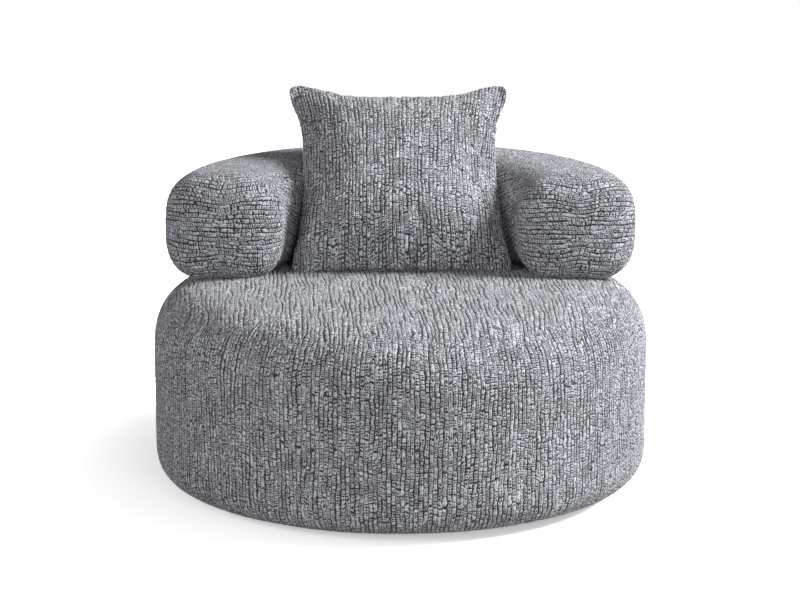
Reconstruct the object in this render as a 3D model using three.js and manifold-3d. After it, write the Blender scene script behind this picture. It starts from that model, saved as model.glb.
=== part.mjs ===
// A round cuddle chair: an upholstered drum that turns on a low floor board, a C-shaped back bolster that
// also makes the arms, and one loose scatter cushion. Millimetres, +Z up, the sitter faces -Y, and the origin
// is on the floor under the middle of the drum.
import * as THREE from "three";
import { mergeVertices } from "three/addons/utils/BufferGeometryUtils.js";
import Module from "manifold-3d";

const wasm = await Module();
wasm.setup();

// Clearances
const fit = 0.3; // between two pieces that touch
const overrun = 5; // how far a cut runs past what it cuts

// The drum, as it is upholstered
const drumRadius = 550;
const seatHeight = 453;
const seatCrown = 9;
const crownRadius = 470;
const crownPower = 4;
const skirtGap = 12;
const shoulderReach = 145;
const shoulderDrop = 145;
const shoulderPower = 2.5;
const hemReach = 78;
const hemRise = 77;
const hemPower = 2.7;
const clothThickness = 2;
const dustClothThickness = 1;
const dustClothClearance = 10;
const flangeWidth = 30;
const sideFoamThickness = 48;
const coreDepth = 75;
const topFoamDepth = 42;

// The drum's timber frame
const boardThickness = 18;
const wallThickness = 4;
const ringWidth = 163;
const postSize = 45;
const postInset = 5;
const postCount = 6;
const strapWidth = 60;
const strapThickness = 2;
const strapLanding = 30;
const lengthStrapShares = [-0.66, -0.22, 0.22, 0.66];
const crossStrapShares = [-0.55, 0, 0.55];

// The floor board and the ball-bearing swivel
const plinthInset = 150;
const plinthThickness = 15;
const skirtClearance = 40;
const glideRadius = 16;
const glideHeight = 5;
const glideInset = 30;
const glideStemRadius = 3;
const glideStemLength = 9;
const glideCount = 6;
const bearingRadius = 105;
const plateReach = 53;
const plateThickness = 4;
const plateGap = 5;
const ballRadius = 4;
const raceClearance = 0.8;
const ballCount = 12;
const cageWidth = 12;
const cageThickness = 2;
const plateScrewCount = 3;
const plateScrewInset = 16;
const plateScrewRadius = 2;
const plateScrewHeadRadius = 4.5;
const plateScrewHeadHeight = 2;
const plateScrewLength = 12;
const kingBoltRadius = 5;
const kingBoltHeadRadius = 14;
const kingBoltHeadHeight = 4;
const kingBoltRunning = 0.6;
const kingNutRadius = 12;
const kingNutHeight = 8;
const kingBoltTip = 3;

// The back bolster, a fat tube bent round the rim of the seat
const backInset = 21;
const backHalfWidth = 135;
const backHalfHeight = 124;
const backPower = 3;
const backShift = 18;
const backSink = 10;
const backSpanAngle = THREE.MathUtils.degToRad(87);
const backEndReach = 78;
const backTopFoam = 38;

// The bolster's frame, and what holds it to the drum
const railWidth = 90;
const railThickness = 18;
const railEndInset = 20;
const ribThickness = 18;
const ribSetback = 2.5;
const ribShares = [-0.97, -0.5, 0, 0.5, 0.97];
const riserRadial = 56;
const riserTangential = 80;
const riserShares = [-0.78, -0.26, 0.26, 0.78];
const slotMargin = 10;
const coachScrewRadius = 4;
const coachHeadRadius = 11;
const coachHeadHeight = 6;
const coachTipMargin = 4;

// The scatter cushion, leaning on the bolster
const cushionWidth = 500;
const cushionHeight = 480;
const cushionThickness = 200;
const cushionSideDraw = 30;
const cushionTopDraw = 36;
const cushionBottomDraw = 3;
const cushionEarPower = 2.8;
const cushionPlumpPower = 0.55;
const cushionSagShare = 0.16;
const cushionLean = THREE.MathUtils.degToRad(36);
const cushionClearance = 1;
const zipLength = 360;
const zipWidth = 8;
const zipDepth = 16;
const zipTapeThickness = 1.5;
const sliderLength = 12;
const sliderHeight = 6;
const sliderEndMargin = 8;

// How finely the round forms are cut
const drumSides = 36;
const boltSides = 8;
const ballSides = 6;
const arcSteps = 5;
const crownSteps = 4;
const sectionSides = 16;
const backSteps = 18;
const endSteps = 4;
const cushionCells = 12;

// Sizes and heights that follow from the ones above
const backRadius = drumRadius - backInset - backHalfWidth;
const wallRadius = drumRadius - clothThickness - sideFoamThickness - 2 * fit;
const frameRadius = wallRadius - wallThickness - fit;
const ringInner = frameRadius - ringWidth;
const plinthRadius = drumRadius - plinthInset;
const hemInner = plinthRadius + skirtClearance;
const plateInner = bearingRadius - plateReach;
const plateOuter = bearingRadius + plateReach;
const flangeInner = hemInner - flangeWidth;

const plinthZ = glideHeight + fit;
const lowerPlateZ = plinthZ + plinthThickness + fit;
const ballZ = lowerPlateZ + plateThickness + plateGap / 2;
const upperPlateZ = ballZ + plateGap / 2;
const baseBoardZ = upperPlateZ + plateThickness + fit;
const flangeZ = baseBoardZ - fit - clothThickness;
const topFoamZ = seatHeight - clothThickness - fit - topFoamDepth;
const coreZ = topFoamZ - fit - coreDepth;
const deckZ = coreZ - 3 * fit - 2 * strapThickness;
const ringZ = deckZ - boardThickness;

const backCentreZ = seatHeight - backSink + backHalfHeight;
const lowerRailZ = seatTop(backRadius - railWidth / 2) + clothThickness + 2 * fit;
const upperRailTop = backCentreZ + backHalfHeight - clothThickness - fit - backTopFoam;
const upperRailZ = upperRailTop - railThickness;
const railSpan = backSpanAngle - railEndInset / backRadius;
const slotSpan = railSpan - slotMargin / backRadius;

// Materials
function finish(color, roughness, metalness = 0) {
  return new THREE.MeshStandardMaterial({ color, roughness, metalness });
}

const fabric = finish(0x9a9ba1, 0.95);
const blackCloth = finish(0x242424, 0.95);
const foam = finish(0xe9e2c4, 0.9);
const softFoam = finish(0xf1eee2, 0.9);
const plywood = finish(0xc9a873, 0.7);
const timber = finish(0xd8bd8c, 0.75);
const hardboard = finish(0x7f5f3e, 0.8);
const webbing = finish(0x2f2f33, 0.9);
const steel = finish(0xa9adb2, 0.35, 0.9);
const nylon = finish(0x2b2b2c, 0.5);

// Turns a closed geometry into a solid that can be cut and joined
function solidOf(geometry) {
  const bare = geometry.clone();
  for (const name of Object.keys(bare.attributes)) {
    if (name !== "position") bare.deleteAttribute(name);
  }
  const merged = mergeVertices(bare);
  return new wasm.Manifold(
    new wasm.Mesh({
      numProp: 3,
      vertProperties: merged.attributes.position.array,
      triVerts: new Uint32Array(merged.index.array),
    }),
  );
}

function geometryOf(solid) {
  const mesh = solid.getMesh();
  const geometry = new THREE.BufferGeometry();
  geometry.setAttribute("position", new THREE.BufferAttribute(mesh.vertProperties, 3));
  geometry.setIndex(new THREE.BufferAttribute(mesh.triVerts, 1));
  geometry.computeVertexNormals();
  return geometry;
}

// A named mesh from a solid or a geometry
function piece(name, shape, material) {
  const geometry = shape.isBufferGeometry ? shape : geometryOf(shape);
  const mesh = new THREE.Mesh(geometry, material);
  mesh.name = name;
  return mesh;
}

// Turns a profile of [radius, height] points about the Z axis
function turned(profile, sides = drumSides) {
  const points = profile.map(([radius, height]) => new THREE.Vector2(radius, height));
  return new THREE.LatheGeometry(points, sides).rotateX(Math.PI / 2);
}

function disc(radius, bottom, top, sides = drumSides) {
  return turned([[0, bottom], [radius, bottom], [radius, top], [0, top]], sides);
}

function ring(inner, outer, bottom, top, sides = drumSides) {
  const profile = [[inner, bottom], [outer, bottom], [outer, top], [inner, top], [inner, bottom]];
  return turned(profile, sides);
}

function block(sizeX, sizeY, bottom, top) {
  return new THREE.BoxGeometry(sizeX, sizeY, top - bottom).translate(0, 0, (top + bottom) / 2);
}

// Points of a quarter of a superellipse, as [across, up] shares from the end of one axis to the other
function quarterShares(power, steps) {
  const shares = [];
  for (let i = 0; i <= steps; i += 1) {
    const angle = (i / steps) * (Math.PI / 2);
    shares.push([Math.cos(angle) ** (2 / power), Math.sin(angle) ** (2 / power)]);
  }
  shares[0] = [1, 0];
  shares[steps] = [0, 1];
  return shares;
}

// How far the middle of the seat swells above its rim, at a distance from the middle
function crownAt(radius) {
  const share = Math.min(radius / crownRadius, 1);
  return seatCrown * (1 - share ** crownPower) ** 2;
}

// The height of the upholstered seat at a distance from its middle: the crown, less the fall of the shoulder
function seatTop(radius) {
  const beyond = Math.max(radius - drumRadius + shoulderReach, 0) / shoulderReach;
  const fall = shoulderDrop * (1 - (1 - beyond ** shoulderPower) ** (1 / shoulderPower));
  return seatHeight + crownAt(radius) - fall;
}

// The drum's outline from the flat under the hem, up the side and over the shoulder to the middle of the seat
function drumOutline(inset) {
  const hem = quarterShares(hemPower, arcSteps).reverse();
  const shoulder = quarterShares(shoulderPower, arcSteps);
  const hemCentre = [drumRadius - hemReach, skirtGap + hemRise];
  const shoulderCentre = [drumRadius - shoulderReach, seatHeight - shoulderDrop];
  const points = [];
  for (const [across, down] of hem) {
    points.push([hemCentre[0] + across * (hemReach - inset), hemCentre[1] - down * (hemRise - inset)]);
  }
  for (const [across, up] of shoulder) {
    const radius = shoulderCentre[0] + across * (shoulderReach - inset);
    points.push([radius, shoulderCentre[1] + up * (shoulderDrop - inset) + crownAt(radius)]);
  }
  for (let i = 1; i <= crownSteps; i += 1) {
    const radius = shoulderCentre[0] * (1 - i / crownSteps);
    points.push([radius, seatHeight - inset + crownAt(radius)]);
  }
  return points;
}

function drumSolid(inset) {
  const outline = drumOutline(inset);
  return solidOf(turned([[0, skirtGap + inset], ...outline]));
}

// The drum's cloth: the outline, turned in under the hem and up to a stapled flange below the base board
function drumCloth() {
  const lipTop = flangeZ + clothThickness;
  const outside = [[flangeInner, flangeZ], [hemInner, flangeZ], [hemInner, skirtGap], ...drumOutline(0)];
  const inside = [[flangeInner, lipTop], [hemInner + clothThickness, lipTop],
    [hemInner + clothThickness, skirtGap + clothThickness], ...drumOutline(clothThickness)];
  return solidOf(turned([...inside.reverse(), ...outside]));
}

// A place on the bolster's centreline: angle 0 is straight back, and grows towards +X
function onBack(angle, radius = backRadius) {
  return new THREE.Vector3(radius * Math.sin(angle), backShift + radius * Math.cos(angle), 0);
}

function standAt(geometry, angle) {
  const place = onBack(angle);
  return geometry.clone().rotateZ(-angle).translate(place.x, place.y, 0);
}

// A closed skin over a row of rings with equally many points, fanned shut at both ends
function loft(rings) {
  const count = rings[0].length;
  const positions = [];
  const middles = [rings[0], rings[rings.length - 1]].map((points) => {
    const sum = points.reduce((total, point) => total.add(point), new THREE.Vector3());
    return sum.divideScalar(points.length);
  });
  const face = (...points) => points.forEach((point) => positions.push(point.x, point.y, point.z));
  for (let i = 0; i < count; i += 1) {
    const next = (i + 1) % count;
    face(middles[0], rings[0][next], rings[0][i]);
    for (let row = 0; row + 1 < rings.length; row += 1) {
      const [near, far] = [rings[row], rings[row + 1]];
      face(near[i], far[next], far[i]);
      face(near[i], near[next], far[next]);
    }
    face(middles[1], rings[rings.length - 1][i], rings[rings.length - 1][next]);
  }
  const geometry = new THREE.BufferGeometry();
  geometry.setAttribute("position", new THREE.Float32BufferAttribute(positions, 3));
  return mergeVertices(geometry);
}

// The bolster: a superelliptic section carried round the C and drawn in over its ends, pressed onto the drum
function backSolid(inset) {
  const section = [];
  for (let i = 0; i < sectionSides; i += 1) {
    const angle = (i / sectionSides) * 2 * Math.PI;
    const [across, up] = [Math.cos(angle), Math.sin(angle)];
    section.push([Math.sign(across) * Math.abs(across) ** (2 / backPower),
      Math.sign(up) * Math.abs(up) ** (2 / backPower)]);
  }
  const ringAt = (angle, beyond, share) => section.map(([across, up]) => {
    const centre = onBack(angle, backRadius + across * share * (backHalfWidth - inset));
    centre.x += beyond * Math.cos(angle);
    centre.y -= beyond * Math.sin(angle);
    centre.z = backCentreZ + up * share * (backHalfHeight - inset);
    return centre;
  });
  const ends = quarterShares(backPower, endSteps).slice(1);
  ends[endSteps - 1] = [ends[endSteps - 2][0] / 2, 1];
  const closing = (side) => ends.map(([share, beyond]) =>
    ringAt(side * backSpanAngle, side * beyond * (backEndReach - inset), share));
  const middle = [];
  for (let i = 0; i <= backSteps; i += 1) {
    middle.push(ringAt(backSpanAngle * ((2 * i) / backSteps - 1), 0, 1));
  }
  const rings = [...closing(-1).reverse(), ...middle, ...closing(1)];
  return solidOf(loft(rings)).subtract(drumSolid(-fit - inset));
}

// A flat C about the bolster's centreline
function backBand(width, span, bottom, top) {
  const shape = new THREE.Shape();
  const start = Math.PI / 2 - span;
  const end = Math.PI / 2 + span;
  shape.absarc(0, backShift, backRadius + width / 2, start, end, false);
  shape.absarc(0, backShift, backRadius - width / 2, end, start, true);
  shape.closePath();
  const settings = { depth: top - bottom, bevelEnabled: false, curveSegments: backSteps };
  return new THREE.ExtrudeGeometry(shape, settings).translate(0, 0, bottom);
}

// The cushion, standing on its bottom seam: sides drawn in between ears, plump in the middle
function cushionSolid(inset) {
  const spread = (i) => Math.sin((Math.PI / 2) * ((2 * i) / cushionCells - 1));
  const point = (i, j, side) => {
    const [u, v] = [spread(i), spread(j)];
    const draw = v > 0 ? cushionTopDraw : cushionBottomDraw;
    const x = u * (cushionWidth / 2 - inset - cushionSideDraw * (1 - Math.abs(v) ** cushionEarPower));
    const z = v * (cushionHeight / 2 - inset - draw * (1 - Math.abs(u) ** cushionEarPower));
    const plump = Math.max((1 - u * u) * (1 - v * v), 0) ** cushionPlumpPower * (1 - cushionSagShare * v);
    return new THREE.Vector3(x, side * plump * (cushionThickness / 2 - inset), z + cushionHeight / 2);
  };
  const positions = [];
  const face = (...points) => points.forEach((p) => positions.push(p.x, p.y, p.z));
  for (const side of [-1, 1]) {
    for (let i = 0; i < cushionCells; i += 1) {
      for (let j = 0; j < cushionCells; j += 1) {
        const here = point(i, j, side);
        const along = point(i + 1, j, side);
        const across = point(i + 1, j + 1, side);
        const above = point(i, j + 1, side);
        if (side < 0) {
          face(here, along, across);
          face(here, across, above);
        } else {
          face(here, across, along);
          face(here, above, across);
        }
      }
    }
  }
  const geometry = new THREE.BufferGeometry();
  geometry.setAttribute("position", new THREE.Float32BufferAttribute(positions, 3));
  return solidOf(geometry);
}

// A strap woven over and under the ones that cross it, running along X at a height above the deck
function strap(halfLength, crossings, startsOver) {
  const low = deckZ + fit;
  const rise = strapThickness + fit;
  const line = [[-halfLength, low]];
  crossings.forEach((x, i) => {
    const over = (i % 2 === 0) === startsOver;
    const height = over ? low + rise : low;
    const half = strapWidth / 2 + fit;
    line.push([x - half, height], [x + half, height]);
  });
  line.push([halfLength, low]);
  const shape = new THREE.Shape();
  line.forEach(([x, z], i) => (i ? shape.lineTo(x, z) : shape.moveTo(x, z)));
  [...line].reverse().forEach(([x, z]) => shape.lineTo(x, z + strapThickness));
  shape.closePath();
  const geometry = new THREE.ExtrudeGeometry(shape, { depth: strapWidth, bevelEnabled: false });
  return geometry.translate(0, 0, -strapWidth / 2).rotateX(Math.PI / 2);
}

// A screw standing on its head: the shank runs up from the top of the head
function screw(headRadius, headHeight, shankRadius, length, bottom) {
  const top = bottom + headHeight + length;
  const tip = shankRadius; // the point is as long as the shank is wide
  return turned([[0, bottom], [headRadius, bottom], [headRadius, bottom + headHeight],
    [shankRadius, bottom + headHeight], [shankRadius, top - tip], [0, top]], boltSides);
}

// A bore whose flats, not its corners, lie at the radius, so that a round shank clears it at any turn
function roundHole(radius, bottom, top, x = 0, y = 0) {
  return solidOf(disc(radius / Math.cos(Math.PI / boltSides), bottom, top, boltSides).translate(x, y, 0));
}

// Everything that stands still on the floor
function floorBase() {
  const group = new THREE.Group();
  let board = solidOf(disc(plinthRadius, plinthZ, plinthZ + plinthThickness));
  let plate = solidOf(ring(plateInner, plateOuter, lowerPlateZ, lowerPlateZ + plateThickness));
  plate = plate.subtract(race());
  for (let i = 0; i < glideCount; i += 1) {
    const angle = ((i + 0.5) / glideCount) * 2 * Math.PI;
    const radius = plinthRadius - glideInset;
    const [x, y] = [radius * Math.cos(angle), radius * Math.sin(angle)];
    const stemTop = glideHeight + glideStemLength;
    const profile = [[0, 0], [glideRadius, 0], [glideRadius, glideHeight], [glideStemRadius, glideHeight],
      [glideStemRadius, stemTop], [0, stemTop]];
    const glide = piece(`glide_${i + 1}`, turned(profile, boltSides), nylon);
    glide.position.set(x, y, 0);
    group.add(glide);
    board = board.subtract(roundHole(glideStemRadius + fit, -overrun, stemTop + fit, x, y));
  }
  for (let i = 0; i < plateScrewCount; i += 1) {
    const angle = (i / plateScrewCount) * 2 * Math.PI;
    const radius = plateInner + plateScrewInset;
    const [x, y] = [radius * Math.cos(angle), radius * Math.sin(angle)];
    const headTop = lowerPlateZ + plateThickness + fit + plateScrewHeadHeight;
    const shape = screw(plateScrewHeadRadius, plateScrewHeadHeight, plateScrewRadius, plateScrewLength, 0);
    const lowerScrew = piece(`swivel_lower_screw_${i + 1}`, shape.rotateX(Math.PI), steel);
    lowerScrew.position.set(x, y, headTop);
    group.add(lowerScrew);
    const tip = headTop - plateScrewHeadHeight - plateScrewLength - fit;
    const hole = roundHole(plateScrewRadius + fit, tip, headTop + overrun, x, y);
    board = board.subtract(hole);
    plate = plate.subtract(hole);
  }
  const nutZ = baseBoardZ + boardThickness + kingBoltRunning;
  const headZ = plinthZ - fit - kingBoltHeadHeight;
  const shank = nutZ + kingNutHeight + kingBoltTip - headZ - kingBoltHeadHeight;
  const bolt = screw(kingBoltHeadRadius, kingBoltHeadHeight, kingBoltRadius, shank, headZ);
  const nut = solidOf(disc(kingNutRadius, nutZ, nutZ + kingNutHeight, boltSides))
    .subtract(roundHole(kingBoltRadius + fit, headZ, nutZ + kingNutHeight + overrun));
  board = board.subtract(roundHole(kingBoltRadius + fit, headZ, nutZ));
  group.add(piece("floor_board", board, plywood), piece("swivel_lower_plate", plate, steel),
    piece("king_bolt", bolt, steel), piece("king_nut", nut, steel));
  return group;
}

// The round groove that the balls run in
function race() {
  const radius = ballRadius + raceClearance;
  const profile = [];
  for (let i = 0; i <= boltSides; i += 1) {
    const angle = (i / boltSides) * 2 * Math.PI;
    profile.push([bearingRadius + radius * Math.cos(angle), ballZ + radius * Math.sin(angle)]);
  }
  profile[boltSides] = [...profile[0]];
  return solidOf(turned(profile));
}

// The balls in their cage, which turns half as far as the seat does
function ballCage() {
  let cage = solidOf(ring(bearingRadius - cageWidth / 2, bearingRadius + cageWidth / 2,
    ballZ - cageThickness / 2, ballZ + cageThickness / 2));
  for (let i = 0; i < ballCount; i += 1) {
    const angle = (i / ballCount) * 2 * Math.PI;
    const ball = new THREE.SphereGeometry(ballRadius, ballSides, ballSides - 2).rotateX(Math.PI / 2);
    ball.translate(bearingRadius * Math.cos(angle), bearingRadius * Math.sin(angle), ballZ);
    cage = cage.add(solidOf(ball));
  }
  return piece("swivel_ball_cage", cage, steel);
}

// The timber frame in the drum, with the swivel's upper plate screwed to its base board
function drumFrame() {
  const group = new THREE.Group();
  let board = solidOf(disc(frameRadius, baseBoardZ, baseBoardZ + boardThickness))
    .subtract(roundHole(kingBoltRadius + kingBoltRunning, plinthZ, ringZ));
  let plate = solidOf(ring(plateInner, plateOuter, upperPlateZ, upperPlateZ + plateThickness));
  plate = plate.subtract(race());
  for (let i = 0; i < plateScrewCount; i += 1) {
    const angle = ((i + 0.5) / plateScrewCount) * 2 * Math.PI;
    const radius = plateOuter - plateScrewInset;
    const [x, y] = [radius * Math.cos(angle), radius * Math.sin(angle)];
    const headBottom = upperPlateZ - fit - plateScrewHeadHeight;
    const shape = screw(plateScrewHeadRadius, plateScrewHeadHeight, plateScrewRadius, plateScrewLength, 0);
    const upperScrew = piece(`swivel_upper_screw_${i + 1}`, shape, steel);
    upperScrew.position.set(x, y, headBottom);
    group.add(upperScrew);
    const tip = headBottom + plateScrewHeadHeight + plateScrewLength + fit;
    const hole = roundHole(plateScrewRadius + fit, headBottom - overrun, tip, x, y);
    board = board.subtract(hole);
    plate = plate.subtract(hole);
  }
  let deck = solidOf(ring(ringInner, frameRadius, ringZ, deckZ));
  for (const share of riserShares) {
    const { x, y } = onBack(share * railSpan);
    deck = deck.subtract(roundHole(coachScrewRadius + fit, ringZ - overrun, deckZ + overrun, x, y));
  }
  for (let i = 0; i < postCount; i += 1) {
    const post = piece(`frame_post_${i + 1}`,
      block(postSize, postSize, baseBoardZ + boardThickness + fit, ringZ - fit), timber);
    const angle = (i / postCount) * 2 * Math.PI + Math.PI / 2;
    const radius = frameRadius - postInset - postSize / 2;
    post.position.set(radius * Math.cos(angle), radius * Math.sin(angle), 0);
    post.rotation.z = angle;
    group.add(post);
  }
  group.add(piece("base_board", board, plywood), piece("swivel_upper_plate", plate, steel),
    piece("deck_ring", deck, plywood),
    piece("wall_panel", ring(frameRadius + fit, wallRadius, baseBoardZ, deckZ), hardboard));
  return group;
}

// Elastic straps woven across the deck ring
function seatStraps() {
  const group = new THREE.Group();
  const landing = ringInner + strapLanding;
  const reach = (offset) => Math.sqrt(landing ** 2 - (Math.abs(offset) + strapWidth / 2) ** 2);
  const lengthPlaces = lengthStrapShares.map((share) => share * ringInner);
  const crossPlaces = crossStrapShares.map((share) => share * ringInner);
  lengthPlaces.forEach((x, i) => {
    const mesh = piece(`seat_strap_length_${i + 1}`, strap(reach(x), crossPlaces, i % 2 === 0), webbing);
    mesh.rotation.z = Math.PI / 2;
    mesh.position.x = x;
    group.add(mesh);
  });
  crossPlaces.forEach((y, i) => {
    const mesh = piece(`seat_strap_cross_${i + 1}`, strap(reach(y), lengthPlaces, i % 2 === 1), webbing);
    mesh.position.y = y;
    group.add(mesh);
  });
  return group;
}

// Blocks that carry the bolster through the seat foam, and the coach screws up their middles
function backRisers() {
  const group = new THREE.Group();
  riserShares.forEach((share, i) => {
    const angle = share * railSpan;
    const place = onBack(angle);
    const bore = roundHole(coachScrewRadius + fit, deckZ - overrun, lowerRailZ + overrun);
    const riser = solidOf(block(riserTangential, riserRadial, deckZ + fit, lowerRailZ - fit)).subtract(bore);
    const riserMesh = piece(`back_riser_${i + 1}`, riser, timber);
    riserMesh.position.copy(place);
    riserMesh.rotation.z = -angle;
    const headBottom = ringZ - fit - coachHeadHeight;
    const length = lowerRailZ + railThickness - coachTipMargin - ringZ + fit;
    const coachScrew = piece(`back_coach_screw_${i + 1}`,
      screw(coachHeadRadius, coachHeadHeight, coachScrewRadius, length, 0), steel);
    coachScrew.position.set(place.x, place.y, headBottom);
    group.add(riserMesh, coachScrew);
  });
  return group;
}

// The hole that every riser needs through the foam and the cloth, as one solid
function riserHoles(bottom, top) {
  const hole = block(riserTangential + 2 * fit, riserRadial + 2 * fit, bottom, top);
  return riserShares
    .map((share) => solidOf(standAt(hole, share * railSpan)))
    .reduce((all, next) => all.add(next));
}

// The foam and the cloth of the drum
function drumUpholstery() {
  const group = new THREE.Group();
  const foamBody = drumSolid(clothThickness + fit);
  const reach = drumRadius + overrun;
  const holes = riserHoles(deckZ, seatHeight + seatCrown + overrun);
  const side = foamBody
    .intersect(solidOf(disc(reach, 0, coreZ - fit)))
    .subtract(solidOf(disc(wallRadius + fit, baseBoardZ - fit, coreZ + overrun)))
    .subtract(solidOf(disc(hemInner + clothThickness + fit, 0, baseBoardZ + overrun)));
  const core = foamBody.intersect(solidOf(disc(reach, coreZ, coreZ + coreDepth))).subtract(holes);
  const top = foamBody
    .intersect(solidOf(disc(reach, topFoamZ, seatHeight + seatCrown + overrun)))
    .subtract(holes);
  const dustCloth = ring(plateOuter + dustClothClearance, flangeInner - fit,
    baseBoardZ - fit - dustClothThickness, baseBoardZ - fit);
  group.add(piece("side_foam", side, foam), piece("seat_core_foam", core, foam),
    piece("seat_top_foam", top, softFoam), piece("drum_cover", drumCloth().subtract(holes), fabric),
    piece("dust_cover", dustCloth, blackCloth));
  return group;
}

// The bolster: two rails and ribs in a foam sleeve, under a cloth that is stapled along a slot underneath
function backBolster() {
  const group = new THREE.Group();
  const bores = riserShares
    .map((share) => onBack(share * railSpan))
    .map(({ x, y }) => roundHole(coachScrewRadius + fit, lowerRailZ - overrun,
      lowerRailZ + railThickness - coachTipMargin + fit, x, y))
    .reduce((all, next) => all.add(next));
  const lowerRail = solidOf(backBand(railWidth, railSpan, lowerRailZ, lowerRailZ + railThickness));
  group.add(piece("back_lower_rail", lowerRail.subtract(bores), plywood),
    piece("back_upper_rail", backBand(railWidth, railSpan, upperRailZ, upperRailTop), plywood));
  const ribDepth = railWidth - 2 * ribSetback;
  const rib = block(ribThickness, ribDepth, lowerRailZ + railThickness + fit, upperRailZ - fit);
  ribShares.forEach((share, i) => {
    group.add(piece(`back_rib_${i + 1}`, standAt(rib, share * railSpan), plywood));
  });
  const sleeveSpan = railSpan + 2 * fit / backRadius;
  const sleeve = backBand(railWidth + 2 * fit, sleeveSpan, ringZ, upperRailTop + fit);
  const foamBody = backSolid(clothThickness + fit).subtract(solidOf(sleeve));
  const slot = backBand(riserRadial + 2 * slotMargin, slotSpan, ringZ, lowerRailZ);
  const cloth = backSolid(0).subtract(backSolid(clothThickness)).subtract(solidOf(slot));
  group.add(piece("back_foam", foamBody, foam), piece("back_cover", cloth, fabric));
  return group;
}

// Where the cushion's bottom seam comes to rest: on the seat, as far back as the bolster lets it
function cushionRest() {
  const leaning = cushionSolid(0).rotate([-THREE.MathUtils.radToDeg(cushionLean), 0, 0]);
  const bolster = backSolid(0);
  const restAt = (y) => new THREE.Vector3(0, y, seatTop(Math.abs(y)) + fit);
  const touches = (y) => !leaning.translate(restAt(y).toArray()).intersect(bolster).isEmpty();
  let [clear, touching] = [-backRadius, backRadius];
  while (touching - clear > fit) {
    const middle = (clear + touching) / 2;
    if (touches(middle)) touching = middle;
    else clear = middle;
  }
  return restAt(clear - cushionClearance);
}

// The scatter cushion: a cover with a concealed zip in its bottom seam, and the filling, both pressed flat
// where they rest on the seat
function scatterCushion() {
  const group = new THREE.Group();
  group.position.copy(cushionRest());
  group.rotation.x = -cushionLean;
  const seatUnder = (gap) => drumSolid(-fit - gap)
    .translate(group.position.clone().negate().toArray())
    .rotate([THREE.MathUtils.radToDeg(cushionLean), 0, 0]);
  const pressed = (inset) => cushionSolid(inset).subtract(seatUnder(inset));
  const top = cushionBottomDraw + zipDepth;
  const slot = solidOf(block(zipLength, zipWidth, -overrun, top));
  const lining = solidOf(block(zipLength, zipWidth + 2 * clothThickness, -overrun, top));
  const outside = pressed(0);
  const cover = outside.subtract(pressed(clothThickness)).add(lining.intersect(outside)).subtract(slot);
  const pocket = block(zipLength + 2 * fit, zipWidth + 2 * clothThickness + 2 * fit, -overrun, top + fit);
  const filling = pressed(clothThickness + fit).subtract(solidOf(pocket));
  const tapeBottom = top - zipTapeThickness;
  const tape = block(zipLength - 2 * fit, zipWidth - 2 * fit, tapeBottom, top);
  const slider = block(sliderLength, zipWidth - 4 * fit, tapeBottom - fit - sliderHeight, tapeBottom - fit);
  const sliderMesh = piece("cushion_zip_slider", slider, steel);
  sliderMesh.position.x = -zipLength / 2 + sliderEndMargin + sliderLength / 2;
  group.add(piece("cushion_cover", cover, fabric), piece("cushion_filling", filling, softFoam),
    piece("cushion_zip_tape", tape, blackCloth), sliderMesh);
  return group;
}

const chair = new THREE.Group();
const turningSeat = new THREE.Group();
turningSeat.add(drumFrame(), seatStraps(), backRisers(), drumUpholstery(), backBolster(), scatterCushion());
chair.add(floorBase(), ballCage(), turningSeat);

export default chair;
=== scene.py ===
# The looks of a round cuddle chair: crackled chenille over a drum seat, a bolster and a loose cushion
import math

import bpy
import numpy as np
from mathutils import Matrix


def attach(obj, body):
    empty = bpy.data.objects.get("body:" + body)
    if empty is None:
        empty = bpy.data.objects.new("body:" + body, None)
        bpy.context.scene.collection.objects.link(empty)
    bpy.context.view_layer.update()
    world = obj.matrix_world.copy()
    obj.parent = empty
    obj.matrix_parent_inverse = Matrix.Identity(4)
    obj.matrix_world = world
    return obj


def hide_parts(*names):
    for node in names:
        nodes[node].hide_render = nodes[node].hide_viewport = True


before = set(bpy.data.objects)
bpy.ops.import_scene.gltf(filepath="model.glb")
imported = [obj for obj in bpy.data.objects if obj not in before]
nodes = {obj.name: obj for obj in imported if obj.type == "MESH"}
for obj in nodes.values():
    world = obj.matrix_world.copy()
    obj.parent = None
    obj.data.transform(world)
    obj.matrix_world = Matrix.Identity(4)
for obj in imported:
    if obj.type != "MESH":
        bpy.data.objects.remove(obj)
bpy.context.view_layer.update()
print("frame loaded")


def newObject(name, data):
    made = bpy.data.objects.new(name, data)
    bpy.context.scene.collection.objects.link(made)
    return made


# camera
camera = {"place": (0.0, -5.5, 1.6217), "tilt": 0.2178, "lens": 113.175, "shift": -0.5 / 800}

lens = bpy.data.cameras.new("camera")
lens.sensor_width = 36
lens.lens = camera["lens"]
lens.shift_x = camera["shift"]
lens.clip_end = 100
cameraObject = newObject("camera", lens)
cameraObject.location = camera["place"]
cameraObject.rotation_euler = (math.pi / 2 - camera["tilt"], 0, 0)
bpy.context.scene.camera = cameraObject


# repeatable randomness
def shareOf(i, j, seed):
    # scrambles two whole numbers and a seed into a share from 0 to 1
    mixed = (i.astype(np.int64) * 73856093) ^ (j.astype(np.int64) * 19349663) ^ (seed * 83492791)
    mixed = (mixed & 0xffffffff).astype(np.uint64)
    for shift, factor in ((16, 2246822519), (13, 3266489917), (16, 668265263)):
        mixed = ((mixed ^ (mixed >> np.uint64(shift))) * np.uint64(factor)) & np.uint64(0xffffffff)
    return (mixed ^ (mixed >> np.uint64(15))).astype(np.float64) / 0x100000000


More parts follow.
